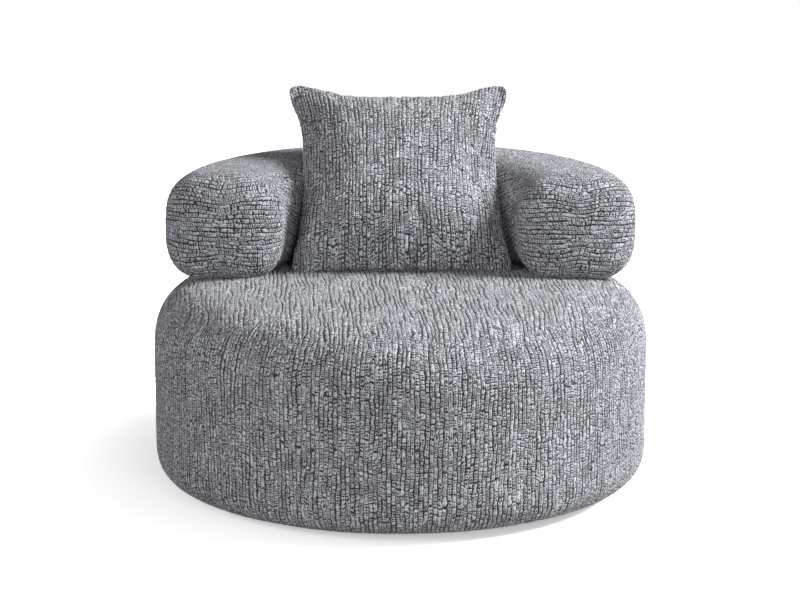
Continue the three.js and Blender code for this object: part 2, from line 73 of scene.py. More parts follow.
def softNoise(x, y, seed):
    # value noise from -1 to 1: shares at whole-number corners, blended by t cubed times (6t - 15)t + 10
    i, j = np.floor(x), np.floor(y)
    u, v = x - i, y - j
    u, v = u**3 * (u * (6 * u - 15) + 10), v**3 * (v * (6 * v - 15) + 10)
    near = shareOf(i, j, seed) * (1 - u) + shareOf(i + 1, j, seed) * u
    far = shareOf(i, j + 1, seed) * (1 - u) + shareOf(i + 1, j + 1, seed) * u
    return 2 * (near * (1 - v) + far * v) - 1


def smoothStep(low, high, value):
    # 0 up to one bound, 1 past the other, and t squared times (3 - 2t) between them
    t = np.clip((value - low) / (high - low), 0, 1)
    return t * t * (3 - 2 * t)


def bell(distance, width):
    # e to the power of minus the square of distance over width
    return np.exp(-(distance / width) ** 2)


def signedPower(value, power):
    # the power of a value's size, with the sign of the value
    return np.sign(value) * np.abs(value) ** power


def waves(sizes, across, along, seed):
    # the sum of soft noises, each with its own height and its own lengths across and along
    return sum(high * softNoise(across / wide, along / long, seed + k)
               for k, (high, wide, long) in enumerate(sizes))


# The chenille's crackle, in metres. A wave is how high it is, in ribs or rungs, and how long across and
# along. A pair of depths is for the tight pattern and for the loose one.
cloth = {
    "ribWidth": 0.0096, "rungSpacing": 0.0110, "reliefWidth": 0.0020, "reliefDepth": 0.0018, "pillow": 0.0014,
    "ribWaves": ((0.45, 0.09, 0.26), (0.26, 0.028, 0.085), (0.17, 0.0098, 0.0115)),
    "looseWaves": ((0.34, 0.016, 0.052),), "rungWaves": ((0.9, 0.08, 0.07), (0.34, 0.024, 0.018)),
    "rungStep": 0.95, "stepHold": 3.5, "ribRun": 0.045, "ribBreak": 0.014, "breakShare": 0.4,
    "ribMean": (0.65, 0.70), "ribSwing": (0.64, 1.07), "ribLeast": (0.26, 0.16),
    "patches": ((0.20, 0.07, 0.07),), "rungRange": (-0.10, 0.80), "rungLoss": 0.6, "slide": (0.38, 0.62),
    "rungValley": 0.85, "leastDome": 0.25, "pillowBase": 0.4, "unevenness": 0.0004, "borderWidth": 0.0013,
    "swellWaves": ((1, 0.045, 0.07), (0.5, 0.02, 0.03)),
}


def ribField(across, along, seed, loose=0.0):
    # Ribs and rungs as two counts that grow across and along the cloth, each bent by slow and quick waves;
    # a crack lies wherever a count is whole. Rungs are slid from rib to rib by a step that holds over each
    # rib's width. Where the pattern is loose, ribs wander more, break off more often and have few rungs.
    # Returns both counts, and how deep the nearest rib crack and the nearest rung crack are.
    rib = across / cloth["ribWidth"] + waves(cloth["ribWaves"], across, along, seed)
    rib = rib + loose * waves(cloth["looseWaves"], across, along, seed + 10)
    rung = along / cloth["rungSpacing"] + waves(cloth["rungWaves"], across, along, seed + 3)
    column = np.floor(rib - 0.5)
    blend = smoothStep(*cloth["slide"], rib - 0.5 - column)
    held = rung / cloth["stepHold"]
    step = (1 - blend) * softNoise(column, held, seed + 5) + blend * softNoise(column + 1, held, seed + 5)
    rung = rung + cloth["rungStep"] * step
    nearRib, nearRung, column = np.round(rib), np.round(rung), np.floor(rib)
    run = softNoise(nearRib, along / cloth["ribRun"], seed + 6)
    run = run + cloth["breakShare"] * softNoise(nearRib, along / cloth["ribBreak"], seed + 7)
    mean, swing, least = (tight + (free - tight) * loose
                          for tight, free in (cloth["ribMean"], cloth["ribSwing"], cloth["ribLeast"]))
    ribDepth = np.clip(mean + swing * run, least, 1)
    share = shareOf(column, nearRung, seed + 8) + waves(cloth["patches"], across, along, seed + 9)
    rungDepth = smoothStep(*cloth["rungRange"], share) * (1 - cloth["rungLoss"] * loose)
    return rib, rung, ribDepth, rungDepth


def ribRelief(rib, rung, ribDepth, rungDepth):
    # Cracks are valleys shaped as bells, and each cell between them is a small pillow: it falls off with the
    # square of the distance from the middle of its rib, and the fourth power of that from its rung's
    offRib = np.abs(rib - np.round(rib)) * cloth["ribWidth"]
    offRung = np.abs(rung - np.round(rung)) * cloth["rungSpacing"]
    valleyRib = ribDepth * bell(offRib, cloth["reliefWidth"])
    valleyRung = rungDepth * bell(offRung, cloth["reliefWidth"])
    valley = 1 - (1 - valleyRib) * (1 - cloth["rungValley"] * valleyRung)
    least = cloth["leastDome"]
    domeRib = 1 - (least + (1 - least) * ribDepth) * (1 - 2 * offRib / cloth["ribWidth"]) ** 2
    domeRung = 1 - rungDepth * (1 - 2 * offRung / cloth["rungSpacing"]) ** 4
    return cloth["pillow"] * (domeRib * domeRung - cloth["pillowBase"]) - cloth["reliefDepth"] * valley


# meshes
def meshObject(name, points, quads, triangles=None, attributes=None):
    # one mesh from whole arrays: corner indices of its quads, then of its triangles; an attribute with one
    # number a point is kept on the points, one with two becomes a UV map
    triangles = np.zeros((0, 3), np.int64) if triangles is None else triangles
    corners = np.concatenate([quads.ravel(), triangles.ravel()]).astype(np.int32)
    totals = np.concatenate([np.full(len(quads), 4), np.full(len(triangles), 3)]).astype(np.int32)
    starts = np.concatenate([[0], np.cumsum(totals)[:-1]]).astype(np.int32)
    mesh = bpy.data.meshes.new(name)
    mesh.vertices.add(len(points))
    mesh.vertices.foreach_set("co", points.astype(np.float32).ravel())
    mesh.loops.add(len(corners))
    mesh.loops.foreach_set("vertex_index", corners)
    mesh.polygons.add(len(totals))
    mesh.polygons.foreach_set("loop_start", starts)
    mesh.update(calc_edges=True)
    mesh.validate()
    mesh.polygons.foreach_set("use_smooth", np.ones(len(mesh.polygons), bool))
    for key, values in (attributes or {}).items():
        if values.ndim == 2:
            layer = mesh.uv_layers.new(name=key)
            layer.data.foreach_set("uv", values[corners].astype(np.float32).ravel())
        else:
            layer = mesh.attributes.new(key, "FLOAT", "POINT")
            layer.data.foreach_set("value", values.astype(np.float32))
    mesh.update()
    return newObject(name, mesh)


def vertexNormals(points, quads):
    # the sum of the crossed diagonals of the quads round each point, made one long
    normals = np.zeros(points.shape)
    one, two, three, four = (points[corner] for corner in quads.T)
    facing = np.cross(three - one, four - two)
    for corner in quads.T:
        for axis in range(3):
            normals[:, axis] += np.bincount(corner, facing[:, axis], len(points))
    return normals / np.maximum(np.linalg.norm(normals, axis=1), 1e-12)[:, None]


def gridOf(first, second):
    return np.meshgrid(first, second, indexing="ij")


def fullTurn(count, start=0.0):
    # equal steps of angle round a circle
    return start + 2 * np.pi * np.arange(count) / count


def around(radius, turn, height):
    return np.stack([radius * np.cos(turn), radius * np.sin(turn), height], -1)


def sheetQuads(grid):
    # the quads of a grid of numbered points
    return np.stack([grid[:-1, :-1], grid[1:, :-1], grid[1:, 1:], grid[:-1, 1:]], -1).reshape(-1, 4)


def tubeQuads(rows, columns, offset=0):
    # quads between neighbouring rows of a closed tube; a row runs anticlockwise seen from the last row
    i, j = gridOf(np.arange(rows - 1), np.arange(columns))
    here, beside = i * columns + j, i * columns + (j + 1) % columns
    return np.stack([here, beside, beside + columns, here + columns], -1).reshape(-1, 4) + offset


def discGrid(cells, ringStart, insideStart):
    # a disc of squares whose rim has 4 * cells points: (distance from the middle, turn) of its inner points,
    # and its quads, with the rim's points numbered from ringStart on and the inner ones from insideStart on.
    # The distance is the larger of |u| and |v|; the angle is an eighth of a turn times the other one's share.
    line = np.linspace(-1, 1, cells + 1)
    u, v = gridOf(line, line)
    wide = np.abs(u) > np.abs(v)
    with np.errstate(divide="ignore", invalid="ignore"):
        angle = np.where(wide, np.pi / 4 * v / u + np.where(u < 0, np.pi, 0),
                         np.pi / 2 - np.pi / 4 * u / v + np.where(v < 0, np.pi, 0))
    angle = np.where((u == 0) & (v == 0), 0, angle)
    radius = np.maximum(np.abs(u), np.abs(v))
    turn = np.mod(angle / (2 * np.pi) + 0.125, 1)
    number = np.zeros(u.shape, np.int64)
    rim = radius > 1 - 0.5 / cells
    number[rim] = ringStart + np.mod(np.round(turn[rim] * 4 * cells), 4 * cells).astype(np.int64)
    number[~rim] = insideStart + np.arange(np.count_nonzero(~rim))
    return radius[~rim], turn[~rim], sheetQuads(number)


def resample(line, count=None, step=None):
    # points at equal distances along a polyline, and the distance of each
    lengths = np.concatenate([[0], np.cumsum(np.linalg.norm(np.diff(line, axis=0), axis=1))])
    count = count or int(round(lengths[-1] / step)) + 1
    places = np.linspace(0, lengths[-1], count)
    return np.stack([np.interp(places, lengths, line[:, k]) for k in range(line.shape[1])], -1), places


def quarter(power, count=400):
    # a quarter of a superellipse, as shares (along, up) from (1, 0) to (0, 1)
    angle = np.linspace(0, np.pi / 2, count)
    return np.abs(np.cos(angle)) ** (2 / power), np.abs(np.sin(angle)) ** (2 / power)


# The drum, in metres. A fade is the range of distances, from the seat's middle or from the cover's lip, over
# which something comes in.
drum = {
    "radius": 0.550, "seatHeight": 0.453, "crown": 0.009, "crownRadius": 0.470, "crownPower": 4,
    "shoulderReach": 0.145, "shoulderDrop": 0.145, "shoulderPower": 2.5,
    "hemReach": 0.078, "hemRise": 0.077, "hemPower": 2.6, "gap": 0.0155,
    "hemInner": 0.440, "flangeInner": 0.410, "flangeHeight": 0.0316,
    "askew": math.radians(3.4), "meeting": 0.515, "sideStart": 1.7, "sideLoose": 0.75, "borderDepth": 0.2,
    "raggedWaves": ((0.030, 1 / 15, 0.04), (0.046, 1 / 62, 0.013)), "seed": 11, "raggedSeed": 81,
    "lipFade": (0.05, 0.09), "looseFade": (0.48, 0.60), "seamFade": (0.30, 0.45),
    "columns": 1480, "rowStep": 0.0035,
    "lining": ((0.410, 0.0336), (0.441, 0.0336), (0.443, 0.0170), (0.480, 0.0180),
               (0.541, 0.060), (0.544, 0.200), (0.544, 0.300), (0.500, 0.410),
               (0.400, 0.444), (0.20, 0.4520), (0.04, 0.4530)),
}


def crownAt(radius):
    # the seat's swell: crown times the square of 1 minus the fourth power of the distance's share
    share = np.minimum(radius / drum["crownRadius"], 1)
    return drum["crown"] * (1 - share ** drum["crownPower"]) ** 2


def seatTop(radius):
    # the seat's height at a distance from the axis, less the superelliptic fall of the shoulder
    beyond = np.clip((radius - drum["radius"] + drum["shoulderReach"]) / drum["shoulderReach"], 0, 1)
    power = drum["shoulderPower"]
    fall = drum["shoulderDrop"] * (1 - (1 - beyond**power) ** (1 / power))
    return drum["seatHeight"] + crownAt(radius) - fall


sewing = {"weltRise": 0.0016, "weltPlace": 0.005, "weltWidth": 0.003, "depth": 0.0030, "width": 0.0016}


def seamCrease(distance):
    # a sewn seam: a narrow valley between two low welts
    welt = sewing["weltRise"] * bell(distance - sewing["weltPlace"], sewing["weltWidth"])
    return welt - sewing["depth"] * seamLine(distance)


def seamLine(distance):
    # how deep the seam's own valley is at a distance, as a share
    return bell(distance, sewing["width"])


def dressed(points, normals, across, along, seed, amount=1.0, scale=1.0, loose=0.0):
    # puts the crackle's relief on a smooth surface; the counts and depths go on to the material
    rib, rung, ribDepth, rungDepth = ribField(across / scale, along / scale, seed, loose)
    swell = cloth["unevenness"] * waves(cloth["swellWaves"], across, along, seed + 18)
    height = ribRelief(rib, rung, ribDepth, rungDepth) + swell
    surface = {"ribs": np.stack([rib, rung], -1), "clothPlane": np.stack([across, along], -1),
               "ribDepth": ribDepth * amount, "rungDepth": rungDepth * amount, "seam": np.zeros(len(points))}
    return points + normals * (height * amount)[:, None], surface


def drumPiece():
    # A profile turned about the axis: a quarter of a superellipse for the hem and one for the shoulder, with
    # a straight side between them, and the seat's swell as a disc inside the last row
    radius, gap = drum["radius"], drum["gap"]
    out, up = quarter(drum["hemPower"])
    hem = np.stack([radius - drum["hemReach"] * (1 - out[::-1]),
                    gap + drum["hemRise"] * (1 - up[::-1])], -1)
    out, up = quarter(drum["shoulderPower"])
    shoulderRadius = radius - drum["shoulderReach"] * (1 - out)
    shoulder = np.stack([shoulderRadius, seatTop(shoulderRadius)], -1)
    shoulder[0, 1] = drum["seatHeight"] - drum["shoulderDrop"]
    start = np.array([[drum["flangeInner"], drum["flangeHeight"]], [drum["hemInner"], drum["flangeHeight"]],
                      [drum["hemInner"], gap]])
    outline, places = resample(np.concatenate([start, hem, shoulder]), step=drum["rowStep"])
    rows, columns = len(outline), drum["columns"]
    angle = fullTurn(columns, -np.pi / 4)
    topRadius = outline[-1, 0]
    share, discTurn, discQuads = discGrid(columns // 4, (rows - 1) * columns, rows * columns)
    inward = share * topRadius
    # the distance from the axis, the height, and the cloth's length from the seat's middle
    side = (outline[:, 0], outline[:, 1], topRadius + places[-1] - places)
    r, z, depth = (np.concatenate([np.repeat(line, columns), disc]) for line, disc in
                   zip(side, (inward, drum["seatHeight"] + crownAt(inward), inward)))
    turn = np.concatenate([np.tile(angle, rows), -np.pi / 4 + 2 * np.pi * discTurn])
    points = around(r, turn, z)
    quads = np.concatenate([tubeQuads(rows, columns), discQuads])
    normals = vertexNormals(points, quads)

    # ribs run down the side and lie front to back on the seat, a few degrees askew; the two meet in a ragged
    # line on the shoulder
    theta = np.arctan2(points[:, 0], -points[:, 1])
    askew = drum["askew"]
    seatAcross = points[:, 0] * math.cos(askew) + points[:, 1] * math.sin(askew)
    seatAlong = points[:, 0] * math.sin(askew) - points[:, 1] * math.cos(askew)
    over = depth - drum["meeting"] + waves(drum["raggedWaves"], theta, depth, drum["raggedSeed"])
    onSeat = over < 0
    across = np.where(onSeat, seatAcross, radius * theta)
    along = np.where(onSeat, seatAlong, depth + drum["sideStart"])
    border = bell(over, cloth["borderWidth"])
    fromSeam = (np.pi - np.abs(theta)) * r
    fromLip = places[-1] + topRadius - depth
    amount = smoothStep(*drum["lipFade"], fromLip)
    loose = np.where(onSeat, 1, drum["sideLoose"] * (1 - smoothStep(*drum["looseFade"], depth)))
    points, surface = dressed(points, normals, across, along, drum["seed"], amount, loose=loose)
    sewn = smoothStep(*drum["seamFade"], depth) * amount
    points = points + normals * (seamCrease(fromSeam) * sewn)[:, None]
    # the seam's line and the ragged border between patterns, kept for the material, which paints them near
    # black as painted shade
    surface["seam"] = np.maximum(seamLine(fromSeam) * sewn, drum["borderDepth"] * border)

    # the cloth's inner side, only so that the skin is closed: a few wide rows down to the middle
    inner = np.array(drum["lining"])
    innerRadius, innerHeight = np.repeat(inner[:, 0], columns), np.repeat(inner[:, 1], columns)
    lining = around(innerRadius, np.tile(angle, len(inner)), innerHeight)
    first = len(points)
    liningQuads = tubeQuads(len(inner), columns, first)[:, ::-1]
    j = np.arange(columns)
    rim = np.stack([first + j, first + (j + 1) % columns, (j + 1) % columns, j], -1)
    pole = first + len(lining)
    last = first + (len(inner) - 1) * columns
    fan = np.stack([last + (j + 1) % columns, last + j, np.full(columns, pole)], -1)
    points = np.concatenate([points, lining, [[0, 0, inner[-1, 1]]]])
    quads = np.concatenate([quads, liningQuads, rim])
    surface = {key: np.concatenate([values, np.zeros((len(points) - first,) + values.shape[1:])])
               for key, values in surface.items()}
    return meshObject("drum_upholstery", points, quads, fan, surface)


# The bolster, in metres. The walls' ribs are laid out along the inner path and the outer one. Those of the
# inner wall sink towards the back by the slope, from its first distance on and no further than at its second.
bolster = {
    "radius": 0.3930, "shift": 0.018, "centreHeight": 0.567, "halfWidth": 0.1330, "halfHeight": 0.1225,
    "power": 3, "span": math.radians(87), "endReach": 0.078, "columns": 400, "rows": 430, "gap": 0.0006,
    "topScale": 0.74, "innerPath": 0.259, "outerPath": 0.529, "outerStart": 0.4, "leftStart": 3.7,
    "wallSlope": 0.44, "slopeReach": (-0.02, 0.24), "endRagged": 0.018, "topStart": 0.72, "topRagged": 0.12,
    "topRungs": 0.8, "topBend": 0.06, "borderDepth": 0.3, "seed": 31, "raggedSeed": 71,
    "raggedWaves": ((1, 0.022, 0.022), (0.5, 0.009, 0.009)),
}


def bolsterPiece():
    # A superellipse carried along an arc of a circle. At each end it is drawn in and pushed out by a quarter
    # of a superellipse, and the part that would lie in the seat is lifted on it.
    columns, rows, power = bolster["columns"], bolster["rows"], bolster["power"]
    turn = np.linspace(-np.pi, np.pi, 4001)
    outline = np.stack([signedPower(np.sin(turn), 2 / power), signedPower(np.cos(turn), 2 / power)], -1)
    size = np.array([bolster["halfWidth"], bolster["halfHeight"]])
    section, girths = resample(outline * size, count=columns + 1)
    section = section / size
    girth = girths[-1]
    fromTop = girths[:-1] - girth / 2
    sectionAt = lambda where: np.stack(
        [np.interp(np.mod(where, 1) * columns, np.arange(columns + 1), section[:, k]) for k in (0, 1)], -1)

    out, up = quarter(power)
    cap, capPlaces = resample(np.stack([out * bolster["halfWidth"], up * bolster["endReach"]], -1), count=301)
    capLength = capPlaces[-1]

    angles = np.linspace(-bolster["span"], bolster["span"], rows)
    angle = np.repeat(angles, columns)
    lateral = np.tile(section[:-1, 0], rows)
    upward = np.tile(section[:-1, 1], rows)
    beyond = np.zeros(rows * columns)
    girthPlace = np.tile(fromTop, rows)
    parts = [(angle, lateral, upward, beyond, girthPlace, np.ones(rows * columns))]
    quads = [tubeQuads(rows, columns)]
    count = rows * columns
    for side, ringStart in ((-1, 0), (1, (rows - 1) * columns)):
        share, where, discQuads = discGrid(columns // 4, ringStart, count)
        place = (1 - share) * capLength
        drawn = np.interp(place, capPlaces, cap[:, 0]) / bolster["halfWidth"]
        push = np.interp(place, capPlaces, cap[:, 1])
        shape = sectionAt(where)
        parts.append((np.full(len(share), side * bolster["span"]), shape[:, 0] * drawn, shape[:, 1] * drawn,
                      side * push, np.mod(where, 1) * girth - girth / 2, share))
        quads.append(discQuads[:, ::-1] if side < 0 else discQuads)
        count += len(share)
    angle, lateral, upward, beyond, girthPlace, tip = (np.concatenate(x) for x in zip(*parts))
    quads = np.concatenate(quads)
    reach = bolster["radius"] + lateral * bolster["halfWidth"]
    points = np.stack([reach * np.sin(angle) + beyond * np.cos(angle),
                       bolster["shift"] + reach * np.cos(angle) - beyond * np.sin(angle),
                       bolster["centreHeight"] + upward * bolster["halfHeight"]], -1)

    def rested(spots):
        # nothing goes below the seat it is pressed on
        floor = seatTop(np.hypot(spots[:, 0], spots[:, 1])) + bolster["gap"]
        spots[:, 2] = np.maximum(spots[:, 2], floor)
        return spots

    normals = vertexNormals(points, quads)
    bare = points.copy()
    points = rested(points)
    if np.mean(normals[: rows * columns, 2] * upward[: rows * columns]) < 0:
        quads, normals = quads[:, ::-1], -normals

    # Three patterns meet in ragged lines: on the arm's end the ribs lie level, laid out by distance and
    # direction from the end's middle; on the walls they run along, and on the inner one slope down towards
    # the back; on the top they lie across, at the distance from the end
    fromEnd = bolster["span"] - np.abs(angle)
    onCap = np.abs(beyond) > 0
    fromTip = np.where(onCap, tip * capLength, capLength + fromEnd * bolster["radius"])
    out = np.hypot(lateral * bolster["halfWidth"], upward * bolster["halfHeight"]) + 1e-9
    endAcross = fromTip * upward * bolster["halfHeight"] / out
    endAlong = fromTip * lateral * bolster["halfWidth"] / out
    inside = lateral < 0
    height = bare[:, 2] - bolster["centreHeight"]
    wallAlong = np.where(inside, -fromEnd * bolster["innerPath"],
                         bolster["outerStart"] + fromEnd * bolster["outerPath"])
    slopeStart, slopeEnd = bolster["slopeReach"]
    back = np.clip(fromEnd * bolster["innerPath"] - slopeStart, 0, slopeEnd)
    wallAcross = height + np.where(inside, bolster["wallSlope"] * back, 0)
    rough = waves(bolster["raggedWaves"], girthPlace, fromTip, bolster["raggedSeed"])
    onEnd = fromTip - capLength + bolster["endRagged"] * rough
    onTop = normals[:, 2] - bolster["topStart"] + bolster["topRagged"] * rough
    scale = bolster["topScale"]
    across = np.where(onEnd < 0, endAcross, np.where(onTop > 0, fromTip / scale, wallAcross))
    along = np.where(onEnd < 0, endAlong, np.where(onTop > 0, girthPlace / scale, wallAlong))
    along = along + np.where(angle < 0, bolster["leftStart"], 0)
    borderWidth = cloth["borderWidth"]
    border = np.maximum(bell(onEnd, borderWidth), (onEnd > 0) * bell(onTop * bolster["topBend"], borderWidth))
    points, surface = dressed(points, normals, across, along, bolster["seed"])
    surface["rungDepth"] *= np.where((onTop > 0) & (onEnd > 0), bolster["topRungs"], 1)
    fromSeam = np.abs(angle) * reach
    points = points + normals * seamCrease(fromSeam)[:, None]
    # the seam's line and the ragged borders between patterns, kept for the material, which paints them near
    # black as painted shade
    surface["seam"] = np.maximum(bolster["borderDepth"] * border, seamLine(fromSeam))
    points = rested(points)
    return meshObject("bolster_upholstery", points, quads, None, surface)


# The cushion, in metres. A fold is where it stands from the middle, how deep and how wide it is. A range is
# the part of the height, counted from -1 to 1, over which something comes in.
cushion = {
    "width": 0.442, "height": 0.4800, "thickness": 0.200, "topSpread": 0.042, "footSpread": 0.0285,
    "topDraw": 0.0370, "bottomDraw": 0.002, "earPower": 3.7, "earEnd": 1.7, "sidePower": 1.9,
    "cornerPower": 11, "footPower": 34, "belly": 0.34, "bellyPlace": -0.68, "bellyReach": 0.32,
    "crownPower": 2.3, "plumpPower": 0.52, "footPlump": 0.63, "plumpRange": (-0.3, -1), "sag": 0.20,
    "notch": 0.004, "notchWidth": 0.008, "notchPower": 12, "cornerFrom": 0.5,
    "foldRange": (-0.50, -0.88), "foldSlope": 0.02, "foldMiddle": -0.8, "foldThickness": 0.03,
    "folds": ((0.040, 0.0070, 0.012), (-0.085, 0.0022, 0.018), (0.205, 0.006, 0.014), (0.125, 0.002, 0.016)),
    "lean": math.radians(36), "seam": (-0.0015, 0.0375, 0.4625), "skew": 0.0045,
    "slump": 1.0, "slumpHeight": 0.12, "bolsterGap": 0.003, "seatGap": 0.0004,
    "cells": 224, "clothScale": 0.88, "clothDepth": 0.44, "rimDepth": 0.6, "rimWidth": 0.012,
    "girthShare": 1.12, "sideReach": 0.025, "rimShare": 1.3, "backStart": 2.3, "seed": 51,
    "coarseCells": 56, "startFill": 0.90, "pressure": 4.0, "slack": 0.03, "mostMove": 0.022, "frames": 20,
    "slotHalf": 0.180, "slotFade": 0.004, "slotHalfWidth": 0.0041, "slotWidths": (0, 0.75, 1.0, 1.02, 1.1),
    "slotDepths": (0.0195, 0.0195, 0.014, 0.007, 0.0015),
}


def cushionGrid(cells):
    # counts from -1 to 1 on both sides of a grid with equally long steps over the cushion's round profile
    dense = np.linspace(-1, 1, 4001)
    halfWide, halfThick = cushion["width"] / 2, cushion["thickness"] / 2
    bulge = np.maximum(1 - dense**2, 0) ** cushion["plumpPower"]
    profile = np.stack([dense * halfWide, bulge * halfThick], -1)
    line = resample(profile, count=cells + 1)[0][:, 0] / halfWide
    line[0], line[-1] = -1, 1
    return line, gridOf(line, line)


def cushionShape(u, v, side, fill):
    # The edges run out to the ears by 1 - (1 - |v|^power)^end, level at their tips, and corners are pulled in
    # by (|u|^p + |v|^p)^(-1/p). The thickness is ((1 - |u|^c)(1 - |v|^c))^power, more of it low down where
    # the filling has sunk into a belly, with a few soft upright folds above the bottom seam and a small notch
    # in the middle of the top one.
    halfWide, halfHigh, halfThick = cushion["width"] / 2, cushion["height"] / 2, cushion["thickness"] / 2
    power = np.where(v > 0, cushion["cornerPower"], cushion["footPower"])
    corner = np.maximum(np.abs(u) ** power + np.abs(v) ** power, 1e-30) ** (-1 / power)
    outer = np.maximum(np.abs(u), np.abs(v)) > cushion["cornerFrom"]
    corner = 1 - np.maximum(1 - corner, 0) * outer
    ear = lambda share: 1 - (1 - np.abs(share) ** cushion["earPower"]) ** cushion["earEnd"]
    spread = np.where(v > 0, cushion["topSpread"] * ear(v),
                      cushion["footSpread"] * np.abs(v) ** cushion["sidePower"])
    draw = np.where(v > 0, cushion["topDraw"], cushion["bottomDraw"])
    x = u * (halfWide + spread) * corner
    z = v * (halfHigh - draw * (1 - ear(u))) * corner + halfHigh
    z = z - cushion["notch"] * bell(x, cushion["notchWidth"]) * np.clip(v, 0, 1) ** cushion["notchPower"]
    crown = cushion["crownPower"]
    low = smoothStep(*cushion["plumpRange"], v)
    plump = cushion["plumpPower"] + (cushion["footPlump"] - cushion["plumpPower"]) * low
    rise = np.maximum((1 - np.abs(u) ** crown) * (1 - np.abs(v) ** crown), 0) ** plump
    belly = 1 + cushion["belly"] * bell(v - cushion["bellyPlace"], cushion["bellyReach"])
    rise = rise * (1 - cushion["sag"] * v) * belly * halfThick * fill
    low = smoothStep(*cushion["foldRange"], v) * smoothStep(0, cushion["foldThickness"], rise)
    for place, depth, width in cushion["folds"]:
        place = place + cushion["foldSlope"] * (v - cushion["foldMiddle"])
        rise = rise - depth * low * bell(x - place, width)
    return np.stack([x, side * rise, z], -1)


def twoPanels(cells):
    # the numbers of the points of the front and the back panel, which share their rim, and the quads
    size = cells + 1
    front = np.arange(size * size).reshape(size, size)
    back = front.copy()
    back[1:-1, 1:-1] = size * size + np.arange((size - 2) ** 2).reshape(size - 2, size - 2)
    return front, back, np.concatenate([sheetQuads(front), sheetQuads(back)[:, ::-1]])


def panelPoints(cells, frontMoves=0, backMoves=0):
    # both panels' points before the cloth is blown up, each moved by its own grid of moves
    line, (u, v) = cushionGrid(cells)
    front, back, quads = twoPanels(cells)
    points = np.zeros((back.max() + 1, 3))
    fill = cushion["startFill"]
    points[back.ravel()] = (cushionShape(u, v, 1, fill) + backMoves).reshape(-1, 3)
    points[front.ravel()] = (cushionShape(u, v, -1, fill) + frontMoves).reshape(-1, 3)
    return points, quads, front, back, line, u, v


def blownUp():
    # Both panels as cloth with a little slack, sewn at the rim and blown up; returns how far each point of
    # the coarse grid moved, for the front and for the back
    start, quads, front, back = panelPoints(cushion["coarseCells"])[:4]
    rim = np.unique(np.concatenate([front[0], front[-1], front[:, 0], front[:, -1]]))
    moves = np.zeros(start.shape)
    trial = meshObject("cushion_trial", start, quads)
    sewn = trial.vertex_groups.new(name="sewn")
    sewn.add(rim.tolist(), 1.0, "REPLACE")
    fabric = trial.modifiers.new("fabric", "CLOTH")
    for key, value in (("quality", 6), ("mass", 0.3), ("tension_stiffness", 12), ("shear_stiffness", 4),
                       ("compression_stiffness", 12), ("bending_stiffness", 0.15), ("air_damping", 2),
                       ("use_pressure", True), ("uniform_pressure_force", cushion["pressure"]),
                       ("shrink_min", -cushion["slack"]), ("shrink_max", -cushion["slack"]),
                       ("vertex_group_mass", "sewn")):
        setattr(fabric.settings, key, value)
    fabric.settings.effector_weights.gravity = 0
    fabric.collision_settings.use_collision = False
    fabric.point_cache.frame_start = 1
    fabric.point_cache.frame_end = cushion["frames"]
    for moment in range(1, cushion["frames"] + 1):
        bpy.context.scene.frame_set(moment)
    blown = trial.evaluated_get(bpy.context.evaluated_depsgraph_get()).to_mesh()
    found = np.zeros(len(start) * 3)
    blown.vertices.foreach_get("co", found)
    moves = found.reshape(-1, 3) - start
    far = np.linalg.norm(moves, axis=1)
    print("cushion blown up by", round(float(far.max()) * 1000, 1), "mm at most")
    moves *= (np.minimum(far, cushion["mostMove"]) / np.maximum(far, 1e-9))[:, None]
    mesh = trial.data
    bpy.data.objects.remove(trial)
    bpy.data.meshes.remove(mesh)
    bpy.context.scene.frame_set(1)
    return moves[front], moves[back]


def finer(grid, cells):
    # a grid of vectors spread over more cells, straight between its points and then smoothed three times
    size = grid.shape[0]
    where = np.linspace(0, size - 1, cells + 1)
    low = np.minimum(where.astype(int), size - 2)
    part = where - low
    rows = grid[low] * (1 - part)[:, None, None] + grid[low + 1] * part[:, None, None]
    fine = rows[:, low] * (1 - part)[None, :, None] + rows[:, low + 1] * part[None, :, None]
    for _ in range(3):
        fine[1:-1, 1:-1] = (fine[1:-1, 1:-1] * 2 + fine[:-2, 1:-1] + fine[2:, 1:-1] + fine[1:-1, :-2]
                            + fine[1:-1, 2:]) / 6
    return fine


def cushionPlace(points):
    # from the cushion's own axes, with its bottom seam on the first one, to where it leans on the bolster
    lean = cushion["lean"]
    y = points[..., 1] * math.cos(lean) + points[..., 2] * math.sin(lean)
    z = -points[..., 1] * math.sin(lean) + points[..., 2] * math.cos(lean)
    return np.stack([points[..., 0], y, z], -1) + np.array(cushion["seam"])


